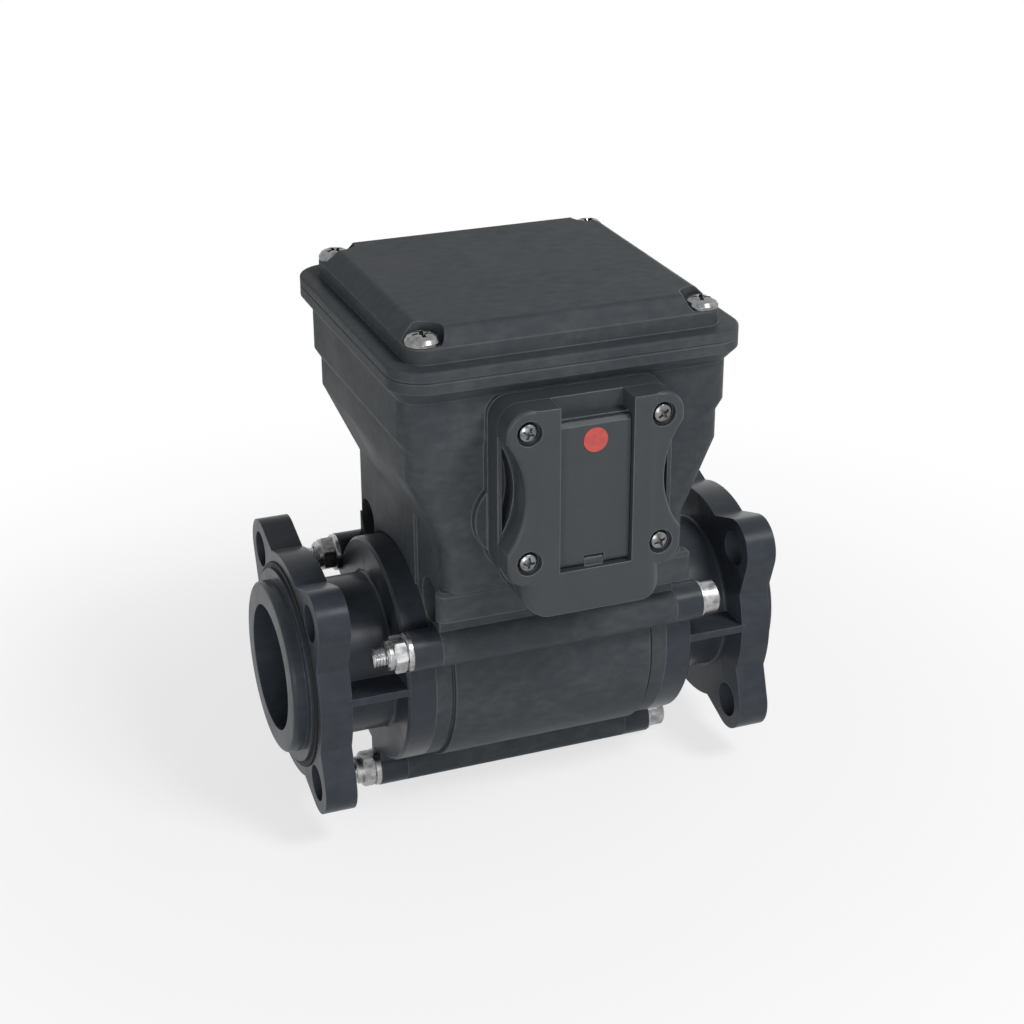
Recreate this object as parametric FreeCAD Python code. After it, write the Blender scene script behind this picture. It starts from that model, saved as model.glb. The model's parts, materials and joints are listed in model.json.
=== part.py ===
import FreeCAD, Part
import math
import os
from FreeCAD import Vector

# In-line electromagnetic flow meter: moulded body with an electronics head,
# two flanged fittings clamped on by tie bolts, and a service pod on the front.
# Millimetres. Origin on the pipe axis at mid length, +X along the flow,
# -Y the side with the pod, +Z up through the head.

# Pipe run
bore_radius = 20.0
tube_wall = 3.5
seam_x = 38.6
ring_thickness = 8.9
ring_radius = 36.0
ring_chamfer = 0.8
neck_length = 17.7
fitting_neck_radius = 24.9
neck_cove = 1.0
web_inset = 0.3
web_thickness = 2.4
web_centre_z = 2.6

# Flanges
flange_thickness = 10.0
flange_disc_radius = 35.8
flange_bolt_circle = 78.0
flange_hole_radius = 5.75
lobe_radius = 9.8
flank_root = 13.5
crease_fillet = 1.0
mouth_length = 5.8
mouth_radius = 27.2
mouth_fillet = 1.4
collar_radius = 30.6
collar_height = 1.5
face_seal_width = 1.9
face_seal_depth = 1.2
face_seal_proud = 0.5

# Spigots that enter the body
spigot_length = 8.0
spigot_radius = 26.5
spigot_clearance = 0.1
spigot_seal_width = 2.4
spigot_seal_offset = 4.0
groove_clearance = 0.1

# Body shell round the measuring tube
shell_radius = 37.0
shell_wall = 3.5
shell_half_length = 32.5
shell_groove_width = 1.0
shell_groove_depth = 0.8

# Tie bolts
tie_radius = 3.0
tie_hole_clearance = 0.25
tie_y = 37.1
tie_z = 17.4
tie_bottom_z = -43.6
sleeve_radius = 6.2
sleeve_web_width = 9.0
washer_radius = 6.0
washer_thickness = 1.6
nut_across_flats = 10.0
nut_height = 4.0
nut_chamfer = 0.7
collar_nut_radius = 4.5
collar_nut_height = 2.0
collar_nut_wall = 0.9
locking_ring_inset = 0.4
thread_proud = 4.2
bolt_head_radius = 5.1
bolt_head_height = 6.3
bolt_head_chamfer = 0.6
hex_socket_flats = 5.0
hex_socket_depth = 3.2

# Neck
neck_half_x = 38.3
neck_step_front = 1.2
neck_step_back = 5.5
neck_radius = 4.5
neck_bottom_z = 30.0
neck_top_z = 52.5
side_pad_proud = 1.1
side_pad_half_y = 20.0
side_pad_top_z = 56.0
ring_clearance = 0.4
gusset_overlap = 2.0
lip_half_x = 41.0
lip_proud = 0.4
lip_depth = 6.0
lip_radius = 2.8
lip_top_z = 39.5
lip_chamfer = 1.2
core_pocket_radius = 7.0
core_pocket_depth = 7.0
core_pocket_y = 30.6
core_pocket_z = 30.3

# Head
head_centre_y = -0.7
waist_half_x = 48.8
waist_half_y = 47.0
waist_radius = 6.5
waist_bottom_z = 75.5
waist_top_z = 84.5
head_step_x = 2.1
head_step_y = 1.2
head_radius = 7.8
head_bottom_z = 88.0
rim_overhang_x = 3.2
rim_overhang_y = 4.55
rim_radius = 11.0
rim_under_z = 100.8
rim_bottom_z = 105.2
seat_z = 108.5
head_wall = 3.0
cavity_floor_z = 39.5
parting_chamfer = 0.35

# Lid
lid_rim_height = 3.2
lid_rim_fillet = 0.8
plateau_inset = 6.0
plateau_radius = 5.5
plateau_wall_height = 4.5
plateau_slope_height = 4.7
plateau_draft = 4.6
plateau_fillet = 2.4
lid_wall = 3.0
lid_tongue_depth = 3.0
lid_tongue_wall = 2.2
lid_fit = 0.25
lid_screw_inset = 5.2
pocket_radius = 6.2
pocket_depth = 4.3
lid_screw_head_radius = 5.1
lid_screw_head_height = 3.8
lid_screw_radius = 2.4
lid_screw_hole_clearance = 0.3
lid_screw_reach = 16.5
lid_boss_radius = 5.4
lid_boss_floor = 6.0
seal_width = 2.0
seal_height = 1.8
seal_inset = 2.6

# Pod on the front
pod_half_x = 27.0
pod_top_z = 101.55
pod_radius = 6.5
pod_low_z = 43.0
pod_low_radius = 12.0
pod_pad_proud = 1.7
pod_seal_thickness = 0.8
pod_seal_inset = 0.4
pod_base_depth = 7.2
pod_cover_depth = 8.4
ear_bottom_z = 47.8
ear_set_back = 0.5
ear_fillet = 1.2
chin_half_x = 22.0
chin_bottom_z = 37.5
chin_radius = 8.0
chin_roll = 6.2
scoop_depth = 5.6
scoop_half_height = 16.8
scoop_centre_z = 75.6
grip_wall = 1.3
grip_depth = 6.2
grip_step = 0.8
pod_screw_x = 20.45
pod_screw_low_z = 55.2
pod_screw_high_z = 95.0
pod_screw_head_radius = 3.0
pod_screw_head_height = 2.2
pod_screw_head_sunk = 2.0
pod_screw_radius = 1.5
screw_fit = 0.02
pod_screw_hole_clearance = 0.2
pod_screw_tip_gap = 0.4
pod_counterbore_radius = 3.75
side_lug_reach = 3.7
side_lug_half_height = 9.2
side_lug_centre_z = 62.5
side_lug_thickness = 4.0
side_lug_set_back = 0.6
pod_cavity_half_x = 17.0
pod_cavity_bottom_z = 52.5
pod_cavity_top_z = 94.0
pod_cavity_radius = 2.0
pod_floor = 1.0
cable_hole_radius = 4.0

# Service flap in the pod cover
window_half_x = 11.2
window_bottom_z = 50.8
ledge_width = 2.2
ledge_depth = 4.5
opening_bottom_z = 54.2
notch_floor_z = 96.2
sill_height = 3.2
flap_gap = 0.35
flap_thickness = 2.3
flap_top_gap = 0.5
flap_pivot_depth = 3.0
flap_pivot_z = 52.3
flap_barrel_radius = 1.25
flap_bevel = 1.1
knuckle_half_x = 2.9
knuckle_gap = 0.25
barrel_clearance = 0.6
pin_radius = 0.6
pin_half_length = 7.0
pin_clearance = 0.05
lens_radius = 3.7
lens_z = 89.9
lens_proud = 0.25
lens_depth = 1.2

# Boards
board_thickness = 1.6
main_board_z = 82.0
board_side_gap = 2.8
board_nut_gap = 0.5
board_post_inset = 7.5
board_post_radius = 3.6
board_corner_notch = 3.0
board_screw_head_radius = 2.8
board_screw_head_height = 2.0
board_screw_length = 7.0
processor_half = 7.0
processor_height = 1.6
terminal_half_length = 20.0
terminal_depth = 9.0
terminal_height = 9.0
terminal_inset = 8.0
capacitor_radius = 4.0
capacitor_height = 12.0
capacitor_half_pitch = 14.0
capacitor_inset = 19.0
service_board_half_x = 15.5
service_board_gap = 1.0
socket_half_x = 6.0
socket_height = 8.0
socket_depth = 6.5
socket_wall = 1.2
socket_drop = 1.0
lamp_radius = 2.5
lamp_height = 5.5

# Field coils, poles and electrodes
chamber_half_length = 28.0
coil_half_length = 24.0
coil_inner_radius = 24.4
coil_outer_radius = 29.6
coil_half_angle = 58.0
coil_window_half_angle = 25.0
coil_window_half_length = 12.0
pole_gap = 0.3
yoke_gap = 0.6
yoke_thickness = 2.9
yoke_half_length = 26.0
electrode_head_radius = 3.5
electrode_head_height = 1.2
electrode_shank_radius = 1.5
electrode_clearance = 0.1
electrode_boss_radius = 4.8
electrode_boss_y = 24.6
electrode_tip_y = 29.4
electrode_seal_height = 0.9
electrode_seal_inset = 0.2
electrode_nut_radius = 3.2
electrode_nut_height = 2.4
lead_radius = 0.7
lead_clearance = 0.4
lead_y = 27.9
coil_lead_x = 18.0
lead_seat_depth = 1.5

# Rear connector
connector_z = 80.0
connector_radius = 6.0
connector_fit = 0.1
connector_reach = 11.0
connector_boss_radius = 9.6
connector_boss_height = 2.0
connector_flange_radius = 8.2
connector_flange_height = 2.5
connector_seal_height = 1.0
connector_seal_inset = 0.4
connector_nut_radius = 8.4
connector_nut_height = 2.4
connector_nut_clearance = 0.4
connector_end_proud = 0.4
connector_wall = 1.4

# Derived positions along the pipe
ring_face_x = seam_x + ring_thickness
flange_inner_x = ring_face_x + neck_length
flange_face_x = flange_inner_x + flange_thickness
mouth_x = flange_face_x + mouth_length
tube_radius = bore_radius + tube_wall
socket_radius = spigot_radius + spigot_clearance
spigot_inner_x = seam_x - spigot_length
spigot_seal_x = spigot_inner_x + spigot_seal_offset
chamber_outer_radius = shell_radius - shell_wall
yoke_inner_radius = coil_outer_radius + yoke_gap
flange_half_pitch = flange_bolt_circle / 2 / math.sqrt(2)
tie_places = [(-tie_y, tie_z), (tie_y, tie_z), (0.0, tie_bottom_z)]
tie_hole_radius = tie_radius + tie_hole_clearance
nut_seat_x = -(ring_face_x + washer_thickness)
nut_end_x = nut_seat_x - nut_height
thread_end_x = nut_end_x - collar_nut_height - thread_proud
corners = [(-1, -1), (1, -1), (-1, 1), (1, 1)]

# Derived sizes of the neck and head, each as half sizes about the head's centre
waist_half = (waist_half_x, waist_half_y)
head_half = (waist_half_x + head_step_x, waist_half_y + head_step_y)
rim_half = (head_half[0] + rim_overhang_x, head_half[1] + rim_overhang_y)
room_half = (waist_half_x - head_wall, waist_half_y - head_wall)
neck_front_y = head_centre_y - waist_half_y + neck_step_front
neck_back_y = head_centre_y + waist_half_y - neck_step_back
neck_centre_y = (neck_front_y + neck_back_y) / 2
neck_half_y = (neck_back_y - neck_front_y) / 2
side_pad_x = neck_half_x + side_pad_proud
lid_rim_z = seat_z + lid_rim_height
plateau_step_z = lid_rim_z + plateau_wall_height
lid_top_z = plateau_step_z + plateau_slope_height
pocket_floor_z = lid_top_z - pocket_depth
lid_screw_tip_z = seat_z - lid_screw_reach
plateau_half = (rim_half[0] - plateau_inset, rim_half[1] - plateau_inset)
lid_screw_places = [(sx * (plateau_half[0] - lid_screw_inset),
                     head_centre_y + sy * (plateau_half[1] - lid_screw_inset)) for sx, sy in corners]

# Derived depths of the pod, from the head's front wall outwards
pod_pad_y = head_centre_y - head_half[1] - pod_pad_proud
pod_back_y = pod_pad_y - pod_seal_thickness
pod_split_y = pod_back_y - pod_base_depth
pod_front_y = pod_split_y - pod_cover_depth
pod_cavity_back_y = pod_back_y - pod_floor
pod_mid_z = (ear_bottom_z + pod_top_z) / 2
pod_screw_seat_y = pod_front_y + ear_set_back + pod_screw_head_sunk
pod_screw_tip_y = pod_back_y - pod_floor
pod_screw_places = [(sx * pod_screw_x, z) for sx in (-1, 1) for z in (pod_screw_low_z, pod_screw_high_z)]
ledge_y = pod_front_y + ledge_depth
opening_half_x = window_half_x - ledge_width
flap_pivot_y = pod_front_y + flap_pivot_depth
flap_front_y = flap_pivot_y - flap_barrel_radius
flap_top_z = notch_floor_z - flap_top_gap

# Derived places of the rear connector and the boards
connector_seat_y = head_centre_y + waist_half_y + connector_boss_height
connector_inner_y = head_centre_y + room_half[1]
connector_nut_y = connector_inner_y - connector_nut_height
connector_end_y = connector_nut_y - connector_end_proud
board_half = (room_half[0] - board_side_gap, connector_end_y - board_nut_gap - head_centre_y)
board_top_z = main_board_z + board_thickness
board_posts = [(sx * (board_half[0] - board_post_inset),
                head_centre_y + sy * (board_half[1] - board_post_inset)) for sx, sy in corners]

os.makedirs("parts", exist_ok=True)
nodes = {}

X = Vector(1, 0, 0)
Y = Vector(0, 1, 0)
Z = Vector(0, 0, 1)
ORIGIN = Vector(0, 0, 0)


def cylinder_x(radius, x0, x1, y=0.0, z=0.0):
    return Part.makeCylinder(radius, x1 - x0, Vector(x0, y, z), X)


def cylinder_y(radius, y0, y1, x=0.0, z=0.0):
    return Part.makeCylinder(radius, y1 - y0, Vector(x, y0, z), Y)


def cylinder_z(radius, z0, z1, x=0.0, y=0.0):
    return Part.makeCylinder(radius, z1 - z0, Vector(x, y, z0), Z)


def box(x0, x1, y0, y1, z0, z1):
    return Part.makeBox(x1 - x0, y1 - y0, z1 - z0, Vector(x0, y0, z0))


def fuse(shapes):
    return shapes[0].fuse(shapes[1:]).removeSplitter()


def turned(points):
    """A solid turned about the pipe axis from (x, radius) points."""
    wire = Part.makePolygon([Vector(x, 0, r) for x, r in points + points[:1]])
    return Part.Face(wire).revolve(ORIGIN, X, 360)


def ring_x(inner, outer, x0, x1):
    return cylinder_x(outer, x0, x1).cut(cylinder_x(inner, x0 - 1, x1 + 1))


def mirrored(shape):
    return shape.mirror(ORIGIN, X)


def rounded_wire(half_a, half_b, radius, centre_a=0.0, centre_b=0.0, low_radius=None):
    """A rounded rectangle about a centre, as corner points and arc middles in a plane."""
    edges = []
    turns = [(1, 1), (-1, 1), (-1, -1), (1, -1)]
    high_radius = radius
    spots = []
    for i, (sa, sb) in enumerate(turns):
        radius = low_radius if low_radius and sb < 0 else high_radius
        lean = radius * (1 - math.sqrt(0.5))
        a, b = centre_a + sa * half_a, centre_b + sb * half_b
        on_b = (a - sa * radius, b)
        on_a = (a, b - sb * radius)
        first, last = (on_a, on_b) if i % 2 == 0 else (on_b, on_a)
        spots.append((first, (a - sa * lean, b - sb * lean), last))
    for i in range(4):
        edges.append(("arc", spots[i]))
        edges.append(("line", (spots[i][2], spots[(i + 1) % 4][0])))
    return edges


def place_wire(edges, to_space):
    made = []
    for kind, spots in edges:
        points = [to_space(a, b) for a, b in spots]
        if kind == "arc":
            made.append(Part.Arc(*points).toShape())
        else:
            made.append(Part.LineSegment(*points).toShape())
    return Part.Wire(made)


def level_wire(half, radius, z, centre_y=head_centre_y, grow=0.0):
    outline = rounded_wire(half[0] + grow, half[1] + grow, radius, 0.0, centre_y)
    return place_wire(outline, lambda a, b: Vector(a, b, z))


def level_block(half, radius, z0, z1, centre_y=head_centre_y, grow=0.0):
    return Part.Face(level_wire(half, radius, z0, centre_y, grow)).extrude(Vector(0, 0, z1 - z0))


def loft(wires):
    return Part.makeLoft(wires, True, True)


def front_block(half_x, z0, z1, radius, y0, y1, low_radius=None):
    """A block with rounded corners seen from the front, between two depths."""
    outline = rounded_wire(half_x, (z1 - z0) / 2, radius, 0.0, (z0 + z1) / 2, low_radius)
    face = Part.Face(place_wire(outline, lambda a, b: Vector(a, y0, b)))
    return face.extrude(Vector(0, y1 - y0, 0))


def hex_prism_x(across_flats, x0, x1, y, z):
    reach = across_flats / math.sqrt(3)
    points = []
    for i in range(7):
        angle = math.radians(60 * i + 30)
        points.append(Vector(x0, y + reach * math.cos(angle), z + reach * math.sin(angle)))
    return Part.Face(Part.makePolygon(points)).extrude(Vector(x1 - x0, 0, 0))


def sector_x(inner, outer, half_length, half_angle):
    """Part of a thick tube about the pipe axis, centred on +Z."""
    low, high = math.radians(90 - half_angle), math.radians(90 + half_angle)
    mid = math.radians(90)

    def spot(radius, angle):
        return Vector(-half_length, radius * math.cos(angle), radius * math.sin(angle))

    edges = [
        Part.Arc(spot(outer, low), spot(outer, mid), spot(outer, high)).toShape(),
        Part.LineSegment(spot(outer, high), spot(inner, high)).toShape(),
        Part.Arc(spot(inner, high), spot(inner, mid), spot(inner, low)).toShape(),
        Part.LineSegment(spot(inner, low), spot(outer, low)).toShape(),
    ]
    return Part.Face(Part.Wire(edges)).extrude(Vector(2 * half_length, 0, 0))


def edges_where(shape, test):
    return [edge for edge in shape.Edges if test(edge)]


def rings_at(shape, radius, places):
    """The round edges of this radius about an X axis at these places along it."""
    found = []
    for edge in shape.Edges:
        if isinstance(edge.Curve, Part.Circle) and abs(edge.Curve.Radius - radius) < 0.01:
            if any(abs(edge.Curve.Center.x - x) < 0.01 for x in places):
                found.append(edge)
    return found


def cross_recess(radius, depth, slot):
    """A cross for a screwdriver, pointing down -Z from the origin."""
    arms = [box(-radius, radius, -slot / 2, slot / 2, -depth, 1)]
    arms.append(box(-slot / 2, slot / 2, -radius, radius, -depth, 1))
    return arms[0].fuse(arms[1])


def pan_screw(head_radius, head_height, shank_radius, shank_length):
    """A pan head screw along Z with its seat on Z = 0 and the head above."""
    wall, crown = head_height * 0.55, head_radius * 0.62
    profile = Part.makePolygon([
        Vector(0, 0, -shank_length), Vector(shank_radius, 0, -shank_length), Vector(shank_radius, 0, 0),
        Vector(head_radius, 0, 0), Vector(head_radius, 0, wall), Vector(crown, 0, head_height),
        Vector(0, 0, head_height), Vector(0, 0, -shank_length)])
    screw = Part.Face(profile).revolve(ORIGIN, Z, 360)
    recess = cross_recess(head_radius * 0.55, head_height * 0.6, head_radius * 0.2)
    recess.translate(Vector(0, 0, head_height))
    return screw.cut(recess)


def make_fitting():
    """The fitting on the +X side: spigot, clamp ring, neck, flange and mouth ring."""
    half_groove = spigot_seal_width / 2 + groove_clearance
    body = turned([
        (spigot_inner_x, bore_radius),
        (spigot_inner_x, spigot_radius),
        (spigot_seal_x - half_groove, spigot_radius),
        (spigot_seal_x - half_groove, socket_radius - spigot_seal_width),
        (spigot_seal_x + half_groove, socket_radius - spigot_seal_width),
        (spigot_seal_x + half_groove, spigot_radius),
        (seam_x, spigot_radius),
        (seam_x, ring_radius),
        (ring_face_x - ring_chamfer, ring_radius),
        (ring_face_x, ring_radius - ring_chamfer),
        (ring_face_x, fitting_neck_radius),
        (flange_inner_x, fitting_neck_radius),
        (flange_inner_x, flange_disc_radius),
        (flange_face_x, flange_disc_radius),
        (flange_face_x, collar_radius),
        (flange_face_x + collar_height, collar_radius),
        (flange_face_x + collar_height, mouth_radius),
        (mouth_x, mouth_radius),
        (mouth_x, bore_radius),
    ])
    body = body.makeFillet(neck_cove, rings_at(body, fitting_neck_radius, (ring_face_x, flange_inner_x)))
    body = body.makeFillet(mouth_fillet, rings_at(body, mouth_radius, (mouth_x,)))
    web_half_y = ring_radius - web_inset
    webs = box(ring_face_x - 1, flange_inner_x + 1, -web_half_y, web_half_y,
               web_centre_z - web_thickness / 2, web_centre_z + web_thickness / 2)
    webs = webs.cut(cylinder_x(bore_radius + 1, ring_face_x - 2, flange_inner_x + 2))
    lugs = []
    for y, z in tie_places:
        lugs.append(cylinder_x(sleeve_radius, seam_x, ring_face_x, y, z))
        lugs.append(sleeve_web(seam_x, ring_face_x, y, z))
    fitting = fuse([body, make_flange(), webs] + lugs)
    for y, z in tie_places:
        fitting = fitting.cut(cylinder_x(tie_hole_radius, seam_x - 1, ring_face_x + 1, y, z))
    for sy, sz in corners:
        y, z = sy * flange_half_pitch, sz * flange_half_pitch
        fitting = fitting.cut(cylinder_x(flange_hole_radius, flange_inner_x - 1, flange_face_x + 1, y, z))
    groove_outer = collar_radius + face_seal_width + groove_clearance
    groove_floor_x = flange_face_x - face_seal_depth
    return fitting.cut(ring_x(collar_radius, groove_outer, groove_floor_x, flange_face_x + 1))


def make_flange():
    """The flange plate: a disc and four lobes joined by straight flanks."""
    disc = cylinder_x(flange_disc_radius, flange_inner_x, flange_face_x)
    plates = [disc]
    root_reach = math.sqrt(flange_disc_radius ** 2 - flank_root ** 2)
    across, down = flange_half_pitch - flank_root, flange_half_pitch - root_reach
    span = math.hypot(across, down)
    lean = math.atan2(down, across) + math.asin(lobe_radius / span)
    run = math.sqrt(span ** 2 - lobe_radius ** 2)
    touch_a, touch_b = flank_root + run * math.cos(lean), root_reach + run * math.sin(lean)
    outline = [(flank_root, root_reach), (touch_a, touch_b), (flange_half_pitch, flange_half_pitch),
               (touch_b, touch_a), (root_reach, flank_root), (flank_root, flank_root)]
    for sy, sz in corners:
        plates.append(cylinder_x(lobe_radius, flange_inner_x, flange_face_x,
                                 sy * flange_half_pitch, sz * flange_half_pitch))
        wire = Part.makePolygon([Vector(flange_inner_x, sy * a, sz * b) for a, b in outline + outline[:1]])
        plates.append(Part.Face(wire).extrude(Vector(flange_thickness, 0, 0)))
    flange = fuse(plates)
    creases = edges_where(flange, lambda edge: edge.BoundBox.XLength > flange_thickness - 0.1
                          and is_crease(edge))
    flange = flange.makeFillet(crease_fillet, creases)
    return flange.cut(cylinder_x(bore_radius + 1, flange_inner_x - 1, flange_face_x + 1))


def is_crease(edge):
    """Whether a straight edge lies where a lobe's flank leaves the flange's disc."""
    point = edge.Vertexes[0].Point
    return abs(math.hypot(point.y, point.z) - flange_disc_radius) < 0.01


def sleeve_web(x0, x1, y, z):
    """The wall that joins a bolt sleeve to the round body behind it."""
    reach = math.hypot(y, z)
    web = box(x0, x1, -sleeve_web_width / 2, sleeve_web_width / 2, tube_radius + head_wall, reach)
    web.rotate(ORIGIN, X, math.degrees(math.atan2(-y, z)))
    return web


def make_shell():
    """The round shell over the coils, with a groove near each end, and the bolt sleeves."""
    groove_x = shell_half_length + shell_groove_width
    floor = ring_radius - shell_groove_depth
    solids = [turned([
        (-seam_x, 0), (-seam_x, ring_radius),
        (-groove_x, ring_radius), (-groove_x, floor), (-shell_half_length, floor),
        (-shell_half_length, shell_radius), (shell_half_length, shell_radius),
        (shell_half_length, floor), (groove_x, floor), (groove_x, ring_radius),
        (seam_x, ring_radius), (seam_x, 0),
    ])]
    for y, z in tie_places:
        solids.append(cylinder_x(sleeve_radius, -seam_x, seam_x, y, z))
        solids.append(sleeve_web(-seam_x, seam_x, y, z))
    gusset_half_y = tie_y + gusset_overlap
    solids.append(box(-neck_half_x, neck_half_x, -gusset_half_y, gusset_half_y, tie_z, neck_bottom_z))
    return solids


def make_lip():
    """The low shelf along the foot of the neck's front wall."""
    middle_y = neck_front_y - lip_proud + lip_depth / 2
    lip = level_block((lip_half_x, lip_depth / 2), lip_radius, neck_bottom_z, lip_top_z, middle_y)
    top_edges = edges_where(lip, lambda edge: edge.BoundBox.ZMin > lip_top_z - 0.01)
    return lip.makeChamfer(lip_chamfer, top_edges)


def head_form():
    """The outer form of the neck and head, as the solids it is built up from."""
    neck_half = (neck_half_x, neck_half_y)
    neck = level_block(neck_half, neck_radius, neck_bottom_z, neck_top_z, neck_centre_y)
    rim = level_block(rim_half, rim_radius, rim_bottom_z, seat_z)
    rim_edges = edges_where(rim, lambda edge: edge.BoundBox.ZMin > seat_z - 0.01)
    return [
        neck,
        loft([level_wire(neck_half, neck_radius, neck_top_z, neck_centre_y),
              level_wire(waist_half, waist_radius, waist_bottom_z)]),
        level_block(waist_half, waist_radius, waist_bottom_z, waist_top_z),
        loft([level_wire(waist_half, waist_radius, waist_top_z),
              level_wire(head_half, head_radius, head_bottom_z)]),
        level_block(head_half, head_radius, head_bottom_z, rim_under_z),
        loft([level_wire(head_half, head_radius, rim_under_z),
              level_wire(rim_half, rim_radius, rim_bottom_z)]),
        rim.makeChamfer(parting_chamfer, rim_edges),
    ]


def make_body():
    """The one-piece moulding: tube shell, sleeves, neck and head box."""
    form = head_form()
    solids = make_shell() + form + [make_lip()]
    side_pads = box(-side_pad_x, side_pad_x, -side_pad_half_y, side_pad_half_y,
                    neck_bottom_z, side_pad_top_z)
    for x0, x1 in ((seam_x, side_pad_x + 1), (-side_pad_x - 1, -seam_x)):
        side_pads = side_pads.cut(cylinder_x(ring_radius + ring_clearance, x0, x1))
    solids.append(side_pads)
    solids += make_pod_pad()
    solids.append(cylinder_y(connector_boss_radius, connector_inner_y, connector_seat_y, 0, connector_z))
    body = fuse(solids).cut(head_cavity())
    posts = [cylinder_z(lid_boss_radius, lid_screw_tip_z - lid_boss_floor, seat_z - parting_chamfer, x, y)
             for x, y in lid_screw_places]
    posts += [cylinder_z(board_post_radius, cavity_floor_z - 1, main_board_z, x, y) for x, y in board_posts]
    room = fuse(form)
    body = fuse([body] + [post.common(room) for post in posts])
    tube = cylinder_x(tube_radius, -spigot_inner_x, chamber_half_length + 1)
    chamber = cylinder_x(chamber_outer_radius, -seam_x - 1, chamber_half_length).cut(tube)
    for side in (-1, 1):
        low, high = sorted((side * (tube_radius - 1), side * electrode_boss_y))
        chamber = chamber.cut(cylinder_y(electrode_boss_radius, low, high))
    body = body.cut(chamber)
    for cut in tube_cuts() + neck_cuts() + head_cuts():
        body = body.cut(cut)
    return body


def tube_cuts():
    """The bore, the spigots' sockets, the electrode seats and the tie bolt holes."""
    cuts = [cylinder_x(bore_radius, -seam_x - 1, seam_x + 1)]
    seat_y = bore_radius + electrode_head_height + electrode_seal_height
    for side in (-1, 1):
        low, high = sorted((side * spigot_inner_x, side * (seam_x + 1)))
        cuts.append(cylinder_x(socket_radius, low, high))
        low, high = sorted((side * (bore_radius - 1), side * (electrode_boss_y + 1)))
        cuts.append(cylinder_y(electrode_shank_radius + electrode_clearance, low, high))
        low, high = sorted((side * (bore_radius - 1), side * seat_y))
        cuts.append(cylinder_y(electrode_head_radius + electrode_clearance, low, high))
    for y, z in tie_places:
        cuts.append(cylinder_x(tie_hole_radius, -seam_x - 1, seam_x + 1, y, z))
    return cuts


def neck_cuts():
    """The core pockets in both end faces and the holes that let the leads up."""
    cuts = []
    lead_hole = lead_radius + lead_clearance
    lead_exit_z = math.sqrt(chamber_outer_radius ** 2 - lead_y ** 2)
    for side in (-1, 1):
        cuts.append(cylinder_z(lead_hole, lead_exit_z - 2, cavity_floor_z + 1, 0, side * lead_y))
        cuts.append(cylinder_z(lead_hole, chamber_outer_radius - 1, cavity_floor_z + 1,
                               side * coil_lead_x, 0))
        low, high = sorted((side * (neck_half_x - core_pocket_depth), side * (side_pad_x + 1)))
        for y in (-core_pocket_y, core_pocket_y):
            cuts.append(cylinder_x(core_pocket_radius, low, high, y, core_pocket_z))
    return cuts


def head_cuts():
    """Screw holes, the lid seal's groove, the cable hole and the connector's hole."""
    cuts = [cylinder_z(lid_screw_radius, lid_screw_tip_z, seat_z + 1, x, y) for x, y in lid_screw_places]
    cuts += [cylinder_z(pod_screw_radius, main_board_z - board_screw_length, main_board_z + 1, x, y)
             for x, y in board_posts]
    cuts.append(seal_path(seal_width + 2 * groove_clearance, seat_z - seal_height, seat_z + 1))
    front_room_y = head_centre_y - room_half[1]
    cuts.append(cylinder_y(cable_hole_radius, pod_pad_y - 1, front_room_y + head_wall, 0, pod_mid_z))
    cuts.append(cylinder_y(connector_radius + connector_fit, connector_end_y - 1, connector_seat_y + 1,
                           0, connector_z))
    cuts.append(cylinder_y(connector_nut_radius + connector_nut_clearance, connector_end_y - 1,
                           connector_inner_y, 0, connector_z))
    return cuts


def pod_outline(inset, y0, y1):
    """The pod's rear outline as two blocks: the broad part and the chin below it."""
    return [
        front_block(pod_half_x - inset, pod_low_z + inset, pod_top_z - inset, pod_radius - inset,
                    y0, y1, pod_low_radius - inset),
        front_block(chin_half_x - inset, chin_bottom_z + inset, pod_mid_z, chin_radius - inset, y0, y1),
    ]


def make_pod_pad():
    """The raised pad on the head's front wall that carries the pod."""
    made = pod_outline(0.0, pod_pad_y, neck_front_y + 1)
    radius = (side_lug_half_height ** 2 + side_lug_reach ** 2) / (2 * side_lug_reach)
    front = pod_pad_y + side_lug_set_back
    for side in (-1, 1):
        centre_x = side * (pod_half_x + side_lug_reach - radius)
        lug = cylinder_y(radius, front, front + side_lug_thickness, centre_x, side_lug_centre_z)
        low, high = sorted((side * (pod_half_x - 2), side * (pod_half_x + side_lug_reach + 1)))
        made.append(lug.common(box(low, high, pod_pad_y, 0, 0, pod_top_z)))
    return made


def head_cavity():
    """The room inside the head and neck for the boards and leads."""
    wall = head_wall
    neck_room = (neck_half_x - wall, neck_half_y - wall)
    slope = (waist_half_x - neck_half_x) / (waist_bottom_z - neck_top_z)
    inner_neck_z = neck_top_z + wall * slope
    inner_waist_z = waist_bottom_z + 1
    return fuse([
        level_block(neck_room, neck_radius, cavity_floor_z, inner_neck_z, neck_centre_y),
        loft([level_wire(neck_room, neck_radius, inner_neck_z, neck_centre_y),
              level_wire(room_half, waist_radius - wall, inner_waist_z)]),
        level_block(room_half, waist_radius - wall, inner_waist_z, seat_z + 1),
    ])


def seal_path(width, z0, z1):
    """The closed path of the lid seal as a band of the given width."""
    outer, inner = width / 2 - seal_inset, -width / 2 - seal_inset
    band = level_block(rim_half, rim_radius + outer, z0, z1, grow=outer)
    return band.cut(level_block(rim_half, rim_radius + inner, z0 - 1, z1 + 1, grow=inner))


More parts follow.
